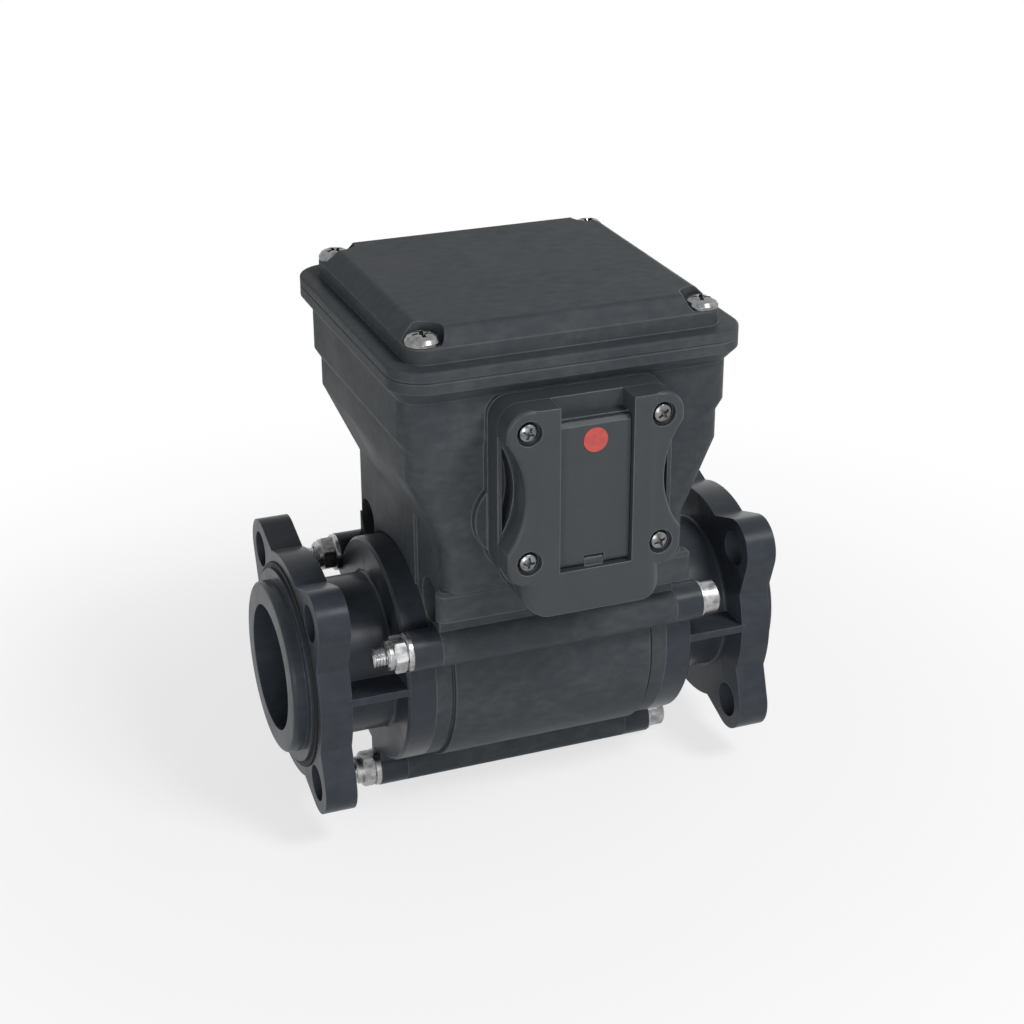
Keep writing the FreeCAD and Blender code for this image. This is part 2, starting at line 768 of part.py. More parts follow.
def make_lid():
    """The square lid: rim, raised plateau, four screw pockets and a tongue."""
    rim = level_block(rim_half, rim_radius, seat_z, lid_rim_z)
    low_edges = edges_where(rim, lambda edge: edge.BoundBox.ZMax < seat_z + 0.01)
    rim = rim.makeChamfer(parting_chamfer, low_edges)
    top_edges = edges_where(rim, lambda edge: edge.BoundBox.ZMin > lid_rim_z - 0.01)
    rim = rim.makeFillet(lid_rim_fillet, top_edges)
    step = level_block(plateau_half, plateau_radius, lid_rim_z - 1, plateau_step_z)
    slope = loft([
        level_wire(plateau_half, plateau_radius, plateau_step_z),
        level_wire(plateau_half, plateau_radius, lid_top_z, grow=-plateau_draft),
    ])
    crown = edges_where(slope, lambda edge: edge.BoundBox.ZMin > lid_top_z - 0.01)
    slope = slope.makeFillet(plateau_fillet, crown)
    inside = -head_wall - lid_fit
    corner = waist_radius - head_wall
    tongue = level_block(waist_half, corner, seat_z - lid_tongue_depth, seat_z + lid_fit, grow=inside)
    tongue = tongue.cut(level_block(waist_half, corner, seat_z - lid_tongue_depth - 1, seat_z,
                                    grow=inside - lid_tongue_wall))
    hollow = level_block(waist_half, corner, seat_z - 1, lid_top_z - lid_wall, grow=inside - lid_wall)
    for x, y in lid_screw_places:
        tongue = tongue.cut(cylinder_z(lid_boss_radius + groove_clearance + lid_fit,
                                       seat_z - lid_tongue_depth - 1, seat_z, x, y))
        hollow = hollow.cut(cylinder_z(pocket_radius + lid_wall, seat_z - 2, lid_top_z, x, y))
    lid = fuse([rim, step, slope, tongue]).cut(hollow)
    for x, y in lid_screw_places:
        lid = lid.cut(cylinder_z(pocket_radius, pocket_floor_z, lid_top_z + 1, x, y))
        lid = lid.cut(cylinder_z(lid_screw_radius + lid_screw_hole_clearance, seat_z - 1,
                                 pocket_floor_z + 1, x, y))
    return lid


def scoops(reach, y0, y1):
    """The two shallow arcs that the pod's sides are cut back by."""
    radius = (scoop_half_height ** 2 + scoop_depth ** 2) / (2 * scoop_depth)
    centre_x = pod_half_x - scoop_depth + radius
    return [cylinder_y(radius + reach, y0, y1, side * centre_x, scoop_centre_z) for side in (-1, 1)]


def make_pod_base():
    """The pod's rear shell, with a grip pocket on each side and room for the board."""
    front = pod_split_y
    base = fuse(pod_outline(0.0, front, pod_back_y))
    skin = front_block(pod_half_x - grip_wall, ear_bottom_z, pod_top_z, pod_radius - grip_wall,
                       front - 1, front + grip_depth)
    for scoop in scoops(-grip_step, front - 1, front + grip_depth):
        base = base.cut(scoop.common(skin))
    base = base.cut(front_block(pod_cavity_half_x, pod_cavity_bottom_z, pod_cavity_top_z, pod_cavity_radius,
                                front - 1, pod_cavity_back_y))
    base = base.cut(cylinder_y(cable_hole_radius, front, pod_back_y + 1, 0, pod_mid_z))
    for x, z in pod_screw_places:
        base = base.cut(cylinder_y(pod_screw_radius, front - 1, pod_screw_tip_y, x, z))
    return base


def make_pod_cover():
    """The pod's front shell: ears, chin, flap recess, ledge, sill and finger notch."""
    ear_front = pod_front_y + ear_set_back
    ears = front_block(pod_half_x, ear_bottom_z, pod_top_z, pod_radius, ear_front, pod_split_y)
    for scoop in scoops(0.0, pod_front_y - 1, pod_split_y + 1):
        ears = ears.cut(scoop)
    front_edges = edges_where(ears, lambda edge: edge.BoundBox.YMax < ear_front + 0.01)
    ears = ears.makeFillet(ear_fillet, front_edges)
    block = front_block(chin_half_x, chin_bottom_z, pod_top_z, ear_fillet,
                        pod_front_y, pod_split_y, chin_radius)
    roll = level_block((chin_half_x, pod_cover_depth), chin_roll,
                       chin_bottom_z - 1, pod_top_z + 1, pod_split_y)
    cover = fuse([ears, block.common(roll)])
    cover = cover.cut(box(-window_half_x, window_half_x, pod_front_y - 1, ledge_y,
                          window_bottom_z, pod_top_z + 1))
    cover = cover.cut(box(-opening_half_x, opening_half_x, ledge_y - 1, pod_split_y + 1,
                          opening_bottom_z, notch_floor_z - sill_height))
    cover = cover.cut(box(-window_half_x, window_half_x, ledge_y - 1, pod_split_y + 1,
                          notch_floor_z, pod_top_z + 1))
    post = cylinder_x(flap_barrel_radius, -knuckle_half_x, knuckle_half_x, flap_pivot_y, flap_pivot_z)
    foot = box(-knuckle_half_x, knuckle_half_x, flap_front_y, flap_pivot_y + flap_barrel_radius,
               window_bottom_z - 0.5, flap_pivot_z)
    cover = fuse([cover, post, foot])
    cover = cover.cut(cylinder_x(pin_radius, -knuckle_half_x - 1, knuckle_half_x + 1,
                                 flap_pivot_y, flap_pivot_z))
    hole = pod_screw_radius + pod_screw_hole_clearance
    for x, z in pod_screw_places:
        cover = cover.cut(cylinder_y(hole, pod_front_y - 1, pod_split_y + 1, x, z))
        cover = cover.cut(cylinder_y(pod_counterbore_radius, pod_front_y - 1, pod_screw_seat_y, x, z))
    return cover


def make_flap():
    """The service flap, with a barrel along its foot that is notched for the knuckle."""
    half_x = window_half_x - flap_gap
    back = flap_front_y + flap_thickness
    plate = box(-half_x, half_x, flap_front_y, back, flap_pivot_z, flap_top_z)
    bevel = edges_where(plate, lambda edge: edge.BoundBox.ZMin > flap_top_z - 0.01
                        and edge.BoundBox.YMax < flap_front_y + 0.01)
    plate = plate.makeChamfer(flap_bevel, bevel)
    barrel = cylinder_x(flap_barrel_radius, -half_x, half_x, flap_pivot_y, flap_pivot_z)
    flap = fuse([plate, barrel])
    notch_reach, notch_half_x = flap_barrel_radius + barrel_clearance, knuckle_half_x + knuckle_gap
    flap = flap.cut(box(-notch_half_x, notch_half_x, flap_front_y - 1, back + 1,
                        flap_pivot_z - notch_reach, flap_pivot_z + notch_reach))
    flap = flap.cut(cylinder_x(pin_radius + pin_clearance, -pin_half_length - pin_radius,
                               pin_half_length + pin_radius, flap_pivot_y, flap_pivot_z))
    return flap.cut(cylinder_y(lens_radius, flap_front_y - 1, flap_front_y + lens_depth, 0, lens_z))


def make_electrode(side):
    """A measuring electrode: flat head in the bore wall and a shank to its nut."""
    head_top = bore_radius + electrode_head_height
    head_low, head_high = sorted((side * bore_radius, side * head_top))
    low, high = sorted((side * (head_top - electrode_clearance), side * electrode_tip_y))
    electrode = fuse([cylinder_y(electrode_head_radius, head_low, head_high),
                      cylinder_y(electrode_shank_radius, low, high)])
    return electrode.cut(cylinder_z(lead_radius, -electrode_shank_radius, electrode_shank_radius + 1,
                                    0, side * lead_y))


def make_coil():
    """A saddle coil over the top of the tube, with a window for its pole."""
    coil = sector_x(coil_inner_radius, coil_outer_radius, coil_half_length, coil_half_angle)
    window = sector_x(coil_inner_radius - 1, coil_outer_radius + 1, coil_window_half_length,
                      coil_window_half_angle)
    coil = coil.cut(window)
    for side in (-1, 1):
        coil = coil.cut(cylinder_z(lead_radius, coil_outer_radius - lead_seat_depth, coil_outer_radius + 1,
                                   side * coil_lead_x, 0))
    return coil


def make_pole():
    """The iron pole that fills a coil's window up to the yoke ring."""
    trim = math.degrees(pole_gap / coil_inner_radius)
    return sector_x(tube_radius + pole_gap, yoke_inner_radius, coil_window_half_length - pole_gap,
                    coil_window_half_angle - trim)


def make_coil_link():
    """The wire that joins the two coils behind the tube, between their lower edges."""
    radius = (coil_inner_radius + coil_outer_radius) / 2
    gap_angle = math.radians(90 - coil_half_angle)

    def spot(angle):
        return Vector(-coil_lead_x, radius * math.cos(angle), radius * math.sin(angle))

    path = Part.Wire([Part.Arc(spot(-gap_angle), spot(0), spot(gap_angle)).toShape()])
    tangent = Vector(0, math.sin(gap_angle), math.cos(gap_angle))
    ring = Part.Wire([Part.Circle(spot(-gap_angle), tangent, lead_radius).toShape()])
    return path.makePipeShell([ring], True, False)


def make_yoke():
    """The iron ring round the coils, drilled for the leads."""
    yoke = ring_x(yoke_inner_radius, yoke_inner_radius + yoke_thickness, -yoke_half_length, yoke_half_length)
    hole = lead_radius + 2 * lead_clearance
    for side in (-1, 1):
        yoke = yoke.cut(cylinder_z(hole, electrode_boss_radius, shell_radius, 0, side * lead_y))
        yoke = yoke.cut(cylinder_z(hole, 0, shell_radius, side * coil_lead_x, 0))
    return yoke


def make_tie_bolt(y, z):
    """A socket head bolt whose head seats on the right lug."""
    top = ring_face_x + bolt_head_height
    head = cylinder_x(bolt_head_radius, ring_face_x, top, y, z)
    head = head.makeChamfer(bolt_head_chamfer, rings_at(head, bolt_head_radius, (top,)))
    bolt = fuse([head, cylinder_x(tie_radius, thread_end_x, ring_face_x + 1, y, z)])
    return bolt.cut(hex_prism_x(hex_socket_flats, top - hex_socket_depth, top + 1, y, z))


def make_tie_nut(y, z):
    """A lock nut: a hexagon with chamfered corners and a round collar behind it."""
    hexagon = hex_prism_x(nut_across_flats, nut_end_x, nut_seat_x, y, z)
    reach = nut_across_flats / math.sqrt(3)
    dome = cylinder_x(reach, nut_end_x, nut_seat_x, y, z)
    dome = dome.makeChamfer(nut_chamfer, rings_at(dome, reach, (nut_end_x, nut_seat_x)))
    collar = ring_at(collar_nut_radius, collar_nut_radius - collar_nut_wall,
                     nut_end_x - collar_nut_height, nut_end_x, y, z)
    nut = fuse([hexagon.common(dome), collar])
    return nut.cut(cylinder_x(tie_radius, nut_end_x - 1, nut_seat_x + 1, y, z))


def ring_at(outer, inner, x0, x1, y, z):
    return cylinder_x(outer, x0, x1, y, z).cut(cylinder_x(inner, x0 - 1, x1 + 1, y, z))


def ring_y(outer, inner, y0, y1, z=0.0):
    return cylinder_y(outer, y0, y1, 0, z).cut(cylinder_y(inner, y0 - 1, y1 + 1, 0, z))


nodes["flow_body"] = make_body()
nodes["right_fitting"] = make_fitting()
nodes["left_fitting"] = mirrored(nodes["right_fitting"])

# Seals between the body and the fittings, and in the flange faces
half_seal = spigot_seal_width / 2
nodes["right_spigot_seal"] = ring_x(socket_radius - spigot_seal_width, socket_radius,
                                    spigot_seal_x - half_seal, spigot_seal_x + half_seal)
nodes["right_face_seal"] = ring_x(collar_radius, collar_radius + face_seal_width,
                                  flange_face_x - face_seal_depth, flange_face_x + face_seal_proud)
nodes["left_spigot_seal"] = mirrored(nodes["right_spigot_seal"])
nodes["left_face_seal"] = mirrored(nodes["right_face_seal"])

nodes["lid"] = make_lid()
nodes["lid_seal"] = seal_path(seal_width, seat_z - seal_height, seat_z)

lid_screws = []
for x, y in lid_screw_places:
    screw = pan_screw(lid_screw_head_radius, lid_screw_head_height, lid_screw_radius - screw_fit,
                      pocket_floor_z - lid_screw_tip_z - 1)
    screw.translate(Vector(x, y, pocket_floor_z))
    lid_screws.append(screw)
nodes["lid_screws"] = Part.makeCompound(lid_screws)

# Tie bolts, nuts, locking rings and washers
nodes["tie_bolts"] = Part.makeCompound([make_tie_bolt(y, z) for y, z in tie_places])
nodes["tie_nuts"] = Part.makeCompound([make_tie_nut(y, z) for y, z in tie_places])
nodes["nut_locking_rings"] = Part.makeCompound([
    ring_at(collar_nut_radius - collar_nut_wall, tie_radius,
            nut_end_x - collar_nut_height + locking_ring_inset, nut_end_x, y, z)
    for y, z in tie_places])
nodes["tie_washers"] = Part.makeCompound([
    ring_at(washer_radius, tie_hole_radius, nut_seat_x, -ring_face_x, y, z) for y, z in tie_places])

# Pod
nodes["pod_base"] = make_pod_base()
nodes["pod_cover"] = make_pod_cover()
pod_seal = fuse(pod_outline(pod_seal_inset, pod_back_y, pod_pad_y))
nodes["pod_seal"] = pod_seal.cut(cylinder_y(cable_hole_radius, pod_back_y - 1, pod_pad_y + 1, 0, pod_mid_z))

pod_screws = []
for x, z in pod_screw_places:
    screw = pan_screw(pod_screw_head_radius, pod_screw_head_height, pod_screw_radius - screw_fit,
                      pod_screw_tip_y - pod_screw_tip_gap - pod_screw_seat_y)
    screw.rotate(ORIGIN, X, 90)
    screw.translate(Vector(x, pod_screw_seat_y, z))
    pod_screws.append(screw)
nodes["pod_screws"] = Part.makeCompound(pod_screws)

# Flap, its pin and the red dot
nodes["service_flap"] = make_flap()
nodes["flap_pin"] = cylinder_x(pin_radius, -pin_half_length, pin_half_length, flap_pivot_y, flap_pivot_z)
nodes["status_lens"] = cylinder_y(lens_radius, flap_front_y - lens_proud, flap_front_y + lens_depth,
                                  0, lens_z)

# Service board behind the flap
board_front_y = pod_cavity_back_y - board_thickness
nodes["service_board"] = box(-service_board_half_x, service_board_half_x, board_front_y, pod_cavity_back_y,
                             pod_cavity_bottom_z + service_board_gap, pod_cavity_top_z - service_board_gap)
socket_top_z = pod_mid_z - socket_drop
socket = box(-socket_half_x, socket_half_x, board_front_y - socket_depth, board_front_y,
             socket_top_z - socket_height, socket_top_z)
nodes["service_socket"] = socket.cut(box(
    -socket_half_x + socket_wall, socket_half_x - socket_wall, board_front_y - socket_depth - 1,
    board_front_y - socket_wall, socket_top_z - socket_height + socket_wall, socket_top_z - socket_wall))
nodes["status_lamp"] = cylinder_y(lamp_radius, board_front_y - lamp_height, board_front_y, 0, lens_z)

# Field coils, poles, yoke and electrodes
nodes["upper_coil"] = make_coil()
nodes["upper_pole"] = make_pole()
for name in ("coil", "pole"):
    lower = nodes["upper_" + name].copy()
    lower.rotate(ORIGIN, X, 180)
    nodes["lower_" + name] = lower
nodes["yoke_ring"] = make_yoke()
nodes["front_electrode"] = make_electrode(-1)
nodes["rear_electrode"] = make_electrode(1)
seals, nuts = [], []
for side in (-1, 1):
    seat_y = bore_radius + electrode_head_height
    low, high = sorted((side * seat_y, side * (seat_y + electrode_seal_height)))
    seals.append(ring_y(electrode_head_radius - electrode_seal_inset, electrode_shank_radius, low, high))
    low, high = sorted((side * electrode_boss_y, side * (electrode_boss_y + electrode_nut_height)))
    nuts.append(ring_y(electrode_nut_radius, electrode_shank_radius, low, high))
nodes["electrode_seals"] = Part.makeCompound(seals)
nodes["electrode_nuts"] = Part.makeCompound(nuts)

# Leads up to the main board
nodes["signal_leads"] = Part.makeCompound([
    cylinder_z(lead_radius, -electrode_shank_radius, main_board_z, 0, side * lead_y) for side in (-1, 1)])
nodes["coil_leads"] = Part.makeCompound([
    cylinder_z(lead_radius, coil_outer_radius - lead_seat_depth, main_board_z, side * coil_lead_x, 0)
    for side in (-1, 1)])
nodes["coil_link"] = make_coil_link()
nodes["coil_chamber_cover"] = turned([
    (-seam_x, socket_radius),
    (-spigot_inner_x, socket_radius),
    (-spigot_inner_x, tube_radius),
    (-chamber_half_length, tube_radius),
    (-chamber_half_length, chamber_outer_radius),
    (-seam_x, chamber_outer_radius),
])

# Main board and what is soldered to it
board_front, board_back = head_centre_y - board_half[1], head_centre_y + board_half[1]
board = box(-board_half[0], board_half[0], board_front, board_back, main_board_z, board_top_z)
for sx, sy in corners:
    x0, x1 = sorted((sx * (board_half[0] - board_corner_notch), sx * (board_half[0] + 1)))
    y0, y1 = sorted((sy * (board_half[1] - board_corner_notch), sy * (board_half[1] + 1)))
    board = board.cut(box(x0, x1, head_centre_y + y0, head_centre_y + y1, main_board_z - 1, board_top_z + 1))
board_screws = []
for x, y in board_posts:
    board = board.cut(cylinder_z(pod_screw_radius + pod_screw_hole_clearance, main_board_z - 1,
                                 board_top_z + 1, x, y))
    screw = pan_screw(board_screw_head_radius, board_screw_head_height, pod_screw_radius - screw_fit,
                      board_screw_length)
    screw.translate(Vector(x, y, board_top_z))
    board_screws.append(screw)
nodes["main_board"] = board
nodes["board_screws"] = Part.makeCompound(board_screws)
nodes["processor_chip"] = box(-processor_half, processor_half, head_centre_y - processor_half,
                              head_centre_y + processor_half, board_top_z, board_top_z + processor_height)
terminal_back = board_back - terminal_inset
nodes["terminal_block"] = box(-terminal_half_length, terminal_half_length, terminal_back - terminal_depth,
                              terminal_back, board_top_z, board_top_z + terminal_height)
capacitor_y = board_front + capacitor_inset
nodes["capacitors"] = Part.makeCompound([
    cylinder_z(capacitor_radius, board_top_z, board_top_z + capacitor_height, side * capacitor_half_pitch,
               capacitor_y) for side in (-1, 1)])

# Rear connector
flange_y = connector_seat_y + connector_seal_height
connector_tip_y = connector_seat_y + connector_reach
connector = fuse([
    cylinder_y(connector_radius, connector_end_y, connector_tip_y, 0, connector_z),
    cylinder_y(connector_flange_radius, flange_y, flange_y + connector_flange_height, 0, connector_z)])
nodes["rear_connector"] = connector.cut(
    cylinder_y(connector_radius - connector_wall, flange_y + connector_flange_height,
               connector_tip_y + 1, 0, connector_z))
nodes["connector_seal"] = ring_y(connector_flange_radius - connector_seal_inset, connector_radius,
                                 connector_seat_y, flange_y, connector_z)
nodes["connector_nut"] = ring_y(connector_nut_radius, connector_radius, connector_nut_y,
                                connector_inner_y, connector_z)

for node, shape in nodes.items():
    shape.exportStep("parts/" + node + ".step")
    print(node, len(shape.Solids), round(shape.Volume, 1), shape.isValid())
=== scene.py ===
import json
import math

import bmesh
import bpy
from mathutils import Matrix, Vector

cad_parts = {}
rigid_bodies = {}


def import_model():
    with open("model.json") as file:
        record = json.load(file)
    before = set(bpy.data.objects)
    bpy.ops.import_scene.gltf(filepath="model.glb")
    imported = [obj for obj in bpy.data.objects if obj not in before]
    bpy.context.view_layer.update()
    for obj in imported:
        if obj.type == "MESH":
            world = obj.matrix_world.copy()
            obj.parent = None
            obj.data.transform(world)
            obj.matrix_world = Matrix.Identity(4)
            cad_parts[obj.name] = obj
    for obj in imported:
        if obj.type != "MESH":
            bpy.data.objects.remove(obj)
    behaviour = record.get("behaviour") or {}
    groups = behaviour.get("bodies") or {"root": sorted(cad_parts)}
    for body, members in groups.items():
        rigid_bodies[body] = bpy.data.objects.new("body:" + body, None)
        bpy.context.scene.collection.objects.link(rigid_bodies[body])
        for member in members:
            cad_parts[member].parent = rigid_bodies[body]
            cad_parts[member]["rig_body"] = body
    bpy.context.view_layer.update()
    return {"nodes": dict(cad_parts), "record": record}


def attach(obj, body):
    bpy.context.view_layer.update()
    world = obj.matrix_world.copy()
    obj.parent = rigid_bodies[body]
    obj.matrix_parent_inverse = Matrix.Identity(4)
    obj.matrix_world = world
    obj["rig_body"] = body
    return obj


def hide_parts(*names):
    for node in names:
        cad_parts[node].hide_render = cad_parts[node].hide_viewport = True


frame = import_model()
mm = 0.001


def addNode(nodes, kind, inputs=None, **settings):
    node = nodes.new(kind)
    for key, value in settings.items():
        setattr(node, key, value)
    for key, value in (inputs or {}).items():
        node.inputs[key].default_value = value
    return node


# camera fitted to the photograph, whose frame is 1024 x 1024; clips in metres, other lengths in mm
photoCamera = {"azimuth": -21.242, "elevation": 24.685, "roll": -0.162, "distance": 673.161,
               "aimRight": 0.03, "aimUp": 35.992, "focalPixels": 2068.854, "framePixels": 1024,
               "sensorMm": 36.0, "clipNear": 0.02, "clipFar": 60.0}


def makeCamera(values):
    turn, tilt, roll = (math.radians(values[key]) for key in ("azimuth", "elevation", "roll"))
    back = Vector((math.sin(turn) * math.cos(tilt), -math.cos(turn) * math.cos(tilt), math.sin(tilt)))
    right = Vector((math.cos(turn), math.sin(turn), 0))
    up = back.cross(right)
    rolledRight = math.cos(roll) * right + math.sin(roll) * up
    rolledUp = math.cos(roll) * up - math.sin(roll) * right
    place = rolledRight * values["aimRight"] + rolledUp * values["aimUp"] + back * values["distance"]
    data = bpy.data.cameras.new("photoCamera")
    data.sensor_width = values["sensorMm"]
    data.sensor_fit = "HORIZONTAL"
    data.lens = values["focalPixels"] * values["sensorMm"] / values["framePixels"]
    data.clip_start = values["clipNear"]
    data.clip_end = values["clipFar"]
    camera = bpy.data.objects.new("photoCamera", data)
    bpy.context.scene.collection.objects.link(camera)
    axes = Matrix((rolledRight, rolledUp, back)).transposed().to_4x4()
    camera.matrix_world = Matrix.Translation(place * mm) @ axes
    bpy.context.scene.camera = camera


# floorZ in mm, other lengths in metres; between the radii the floor's share of white grows to all
studio = {"floorZ": -50.2, "floorSize": 6.0, "floorColour": 0.9, "floorRoughness": 0.9,
          "floorSpecular": 0.1, "clearRadius": 0.10, "whiteRadius": 0.34, "nearWhite": 0.7,
          "worldLevel": 0.25, "aim": (0.0, 0.0, 0.035)}

studioLamps = {
    "keyLamp": {"place": (0.42, -0.72, 1.00), "size": 0.42, "power": 9.0},
    "frontLamp": {"place": (-0.30, -1.30, 0.22), "size": 0.40, "power": 5.0},
    "cornerLamp": {"place": (-0.95, -0.72, 0.05), "size": 0.16, "power": 3.0},
    "rightLamp": {"place": (1.15, -0.30, 0.30), "size": 0.5, "power": 1.5},
    "backLamp": {"place": (0.95, 1.05, 0.12), "size": 0.6, "power": 4.0},
}


def makeLamps(lamps, aim):
    for name, values in lamps.items():
        data = bpy.data.lights.new(name, "AREA")
        data.shape = "DISK"
        data.size = values["size"]
        data.energy = values["power"]
        lamp = bpy.data.objects.new(name, data)
        lamp.location = values["place"]
        lamp.rotation_euler = (Vector(aim) - Vector(values["place"])).to_track_quat("-Z", "Y").to_euler()
        bpy.context.scene.collection.objects.link(lamp)


# 1 for the rays that show the background itself, 0 for those that only light the object
def seenRays(nodes, links):
    path = addNode(nodes, "ShaderNodeLightPath")
    white = path.outputs["Is Camera Ray"]
    for ray in ("Is Glossy Ray", "Is Transmission Ray"):
        either = addNode(nodes, "ShaderNodeMath", operation="MAXIMUM")
        links.new(white, either.inputs[0])
        links.new(path.outputs[ray], either.inputs[1])
        white = either.outputs[0]
    return white


# the first shader where the share is 0 and the second where it is 1, led to the output
def showEither(nodes, links, share, first, second, outputKind):
    mix = addNode(nodes, "ShaderNodeMixShader")
    end = addNode(nodes, outputKind)
    links.new(share, mix.inputs[0])
    links.new(first.outputs[0], mix.inputs[1])
    links.new(second.outputs[0], mix.inputs[2])
    links.new(mix.outputs[0], end.inputs[0])


def makeWorld(level):
    world = bpy.data.worlds.new("studioWorld")
    world.use_nodes = True
    nodes, links = world.node_tree.nodes, world.node_tree.links
    nodes.clear()
    soft = addNode(nodes, "ShaderNodeBackground", {"Color": (1, 1, 1, 1), "Strength": level})
    shown = addNode(nodes, "ShaderNodeBackground", {"Color": (1, 1, 1, 1), "Strength": 1.0})
    showEither(nodes, links, seenRays(nodes, links), soft, shown, "ShaderNodeOutputWorld")
    bpy.context.scene.world = world


def newMaterial(name):
    material = bpy.data.materials.new(name)
    material.use_nodes = True
    nodes, links = material.node_tree.nodes, material.node_tree.links
    nodes.clear()
    return material, nodes, links


def makeFloor(values):
    material, nodes, links = newMaterial("studioFloorPaint")
    level = values["floorColour"]
    paint = addNode(nodes, "ShaderNodeBsdfPrincipled",
                    {"Base Color": (level, level, level, 1), "Roughness": values["floorRoughness"],
                     "Specular IOR Level": values["floorSpecular"]})
    place = addNode(nodes, "ShaderNodeTexCoord")
    reach = addNode(nodes, "ShaderNodeVectorMath", operation="LENGTH")
    links.new(place.outputs["Object"], reach.inputs[0])
    fade = addNode(nodes, "ShaderNodeMapRange",
                   {"From Min": values["clearRadius"], "From Max": values["whiteRadius"],
                    "To Min": values["nearWhite"], "To Max": 1.0}, interpolation_type="SMOOTHSTEP")
    links.new(reach.outputs["Value"], fade.inputs["Value"])
    share = addNode(nodes, "ShaderNodeMath", operation="MULTIPLY")
    links.new(fade.outputs["Result"], share.inputs[0])
    links.new(seenRays(nodes, links), share.inputs[1])
    glow = addNode(nodes, "ShaderNodeEmission", {"Color": (1, 1, 1, 1), "Strength": 1.0})
    showEither(nodes, links, share.outputs[0], paint, glow, "ShaderNodeOutputMaterial")
    bpy.ops.mesh.primitive_plane_add(size=values["floorSize"], location=(0, 0, values["floorZ"] * mm))
    floor = bpy.context.object
    floor.name = "studioFloor"
    floor.data.materials.append(material)


def addNoise(nodes, links, vector, inputs):
    texture = addNode(nodes, "ShaderNodeTexNoise", inputs)
    links.new(vector, texture.inputs["Vector"])
    return texture.outputs["Fac"]


# object coordinates, and the same scaled along X, which draws a pattern out that way
def patternPlaces(nodes, links, scaleX):
    place = addNode(nodes, "ShaderNodeTexCoord").outputs["Object"]
    scaled = addNode(nodes, "ShaderNodeMapping", {"Scale": (scaleX, 1, 1)})
    links.new(place, scaled.inputs["Vector"])
    return place, scaled.outputs[0]


def product(nodes, links, first, second):
    node = addNode(nodes, "ShaderNodeMath", operation="MULTIPLY")
    links.new(first, node.inputs[0])
    links.new(second, node.inputs[1])
    return node.outputs[0]


def ranged(nodes, links, value, fromLow, fromHigh, toLow, toHigh):
    node = addNode(nodes, "ShaderNodeMapRange", {"From Min": fromLow, "From Max": fromHigh,
                                                 "To Min": toLow, "To Max": toHigh})
    links.new(value, node.inputs["Value"])
    return node.outputs["Result"]


# a colour is either three numbers or another node's output
def mixed(nodes, links, first, second, share):
    node = addNode(nodes, "ShaderNodeMix", data_type="RGBA")
    for key, colour in (("A", first), ("B", second)):
        if isinstance(colour, tuple):
            node.inputs[key].default_value = (*colour, 1)
        else:
            links.new(colour, node.inputs[key])
    links.new(share, node.inputs["Factor"])
    return node.outputs["Result"]


def roundedEdge(nodes, radiusMm, samples):
    return addNode(nodes, "ShaderNodeBevel", {"Radius": radiusMm * mm}, samples=samples).outputs[0]


def bumped(nodes, links, height, strength, depthMm, normal=None):
    node = addNode(nodes, "ShaderNodeBump", {"Strength": strength, "Distance": depthMm * mm})
    links.new(height, node.inputs["Height"])
    if normal:
        links.new(normal, node.inputs["Normal"])
    return node.outputs[0]


def finishMaterial(nodes, links, constants, colour, roughness, normal):
    paint = addNode(nodes, "ShaderNodeBsdfPrincipled", constants)
    links.new(colour, paint.inputs["Base Color"])
    links.new(roughness, paint.inputs["Roughness"])
    links.new(normal, paint.inputs["Normal"])
    end = addNode(nodes, "ShaderNodeOutputMaterial")
    links.new(paint.outputs[0], end.inputs[0])


# per finish: face colours, the paler colour painted on edges as a highlight, gloss, grain and streaks along X
mouldedFinishes = {
    "housingPlastic": {"colour": (0.045, 0.051, 0.057), "pale": (0.100, 0.108, 0.106), "paleShare": 0.34,
                       "edge": (0.170, 0.180, 0.180), "edgeShare": 0.9, "streak": 0.6,
                       "roughness": 0.40, "specular": 0.022, "grainPerMetre": 2400, "grainMm": 0.020,
                       "cloudPerMetre": 42, "edgeMm": 0.7},
    "fittingPlastic": {"colour": (0.027, 0.032, 0.040), "pale": (0.056, 0.064, 0.074), "paleShare": 0.35,
                       "edge": (0.100, 0.115, 0.135), "edgeShare": 0.9, "streak": 0.6,
                       "roughness": 0.30, "specular": 0.14, "grainPerMetre": 2000, "grainMm": 0.008,
                       "cloudPerMetre": 40, "edgeMm": 0.4},
    "podPlastic": {"colour": (0.043, 0.048, 0.053), "pale": (0.068, 0.074, 0.080), "paleShare": 0.15,
                   "edge": (0.190, 0.210, 0.235), "edgeShare": 1.0, "streak": 1.0,
                   "roughness": 0.34, "specular": 0.16, "grainPerMetre": 4200, "grainMm": 0.005,
                   "cloudPerMetre": 70, "edgeMm": 0.5},
    "sealRubber": {"colour": (0.012, 0.012, 0.013), "pale": (0.022, 0.022, 0.022), "paleShare": 0.3,
                   "edge": (0.030, 0.030, 0.030), "edgeShare": 0.3, "streak": 1.0,
                   "roughness": 0.6, "specular": 0.2, "grainPerMetre": 3000, "grainMm": 0.01,
                   "cloudPerMetre": 150, "edgeMm": 0.15},
    "nylonRing": {"colour": (0.05, 0.11, 0.26), "pale": (0.07, 0.14, 0.30), "paleShare": 0.3,
                  "edge": (0.12, 0.20, 0.36), "edgeShare": 0.3, "streak": 1.0,
                  "roughness": 0.5, "specular": 0.4, "grainPerMetre": 3000, "grainMm": 0.004,
                  "cloudPerMetre": 200, "edgeMm": 0.1},
}
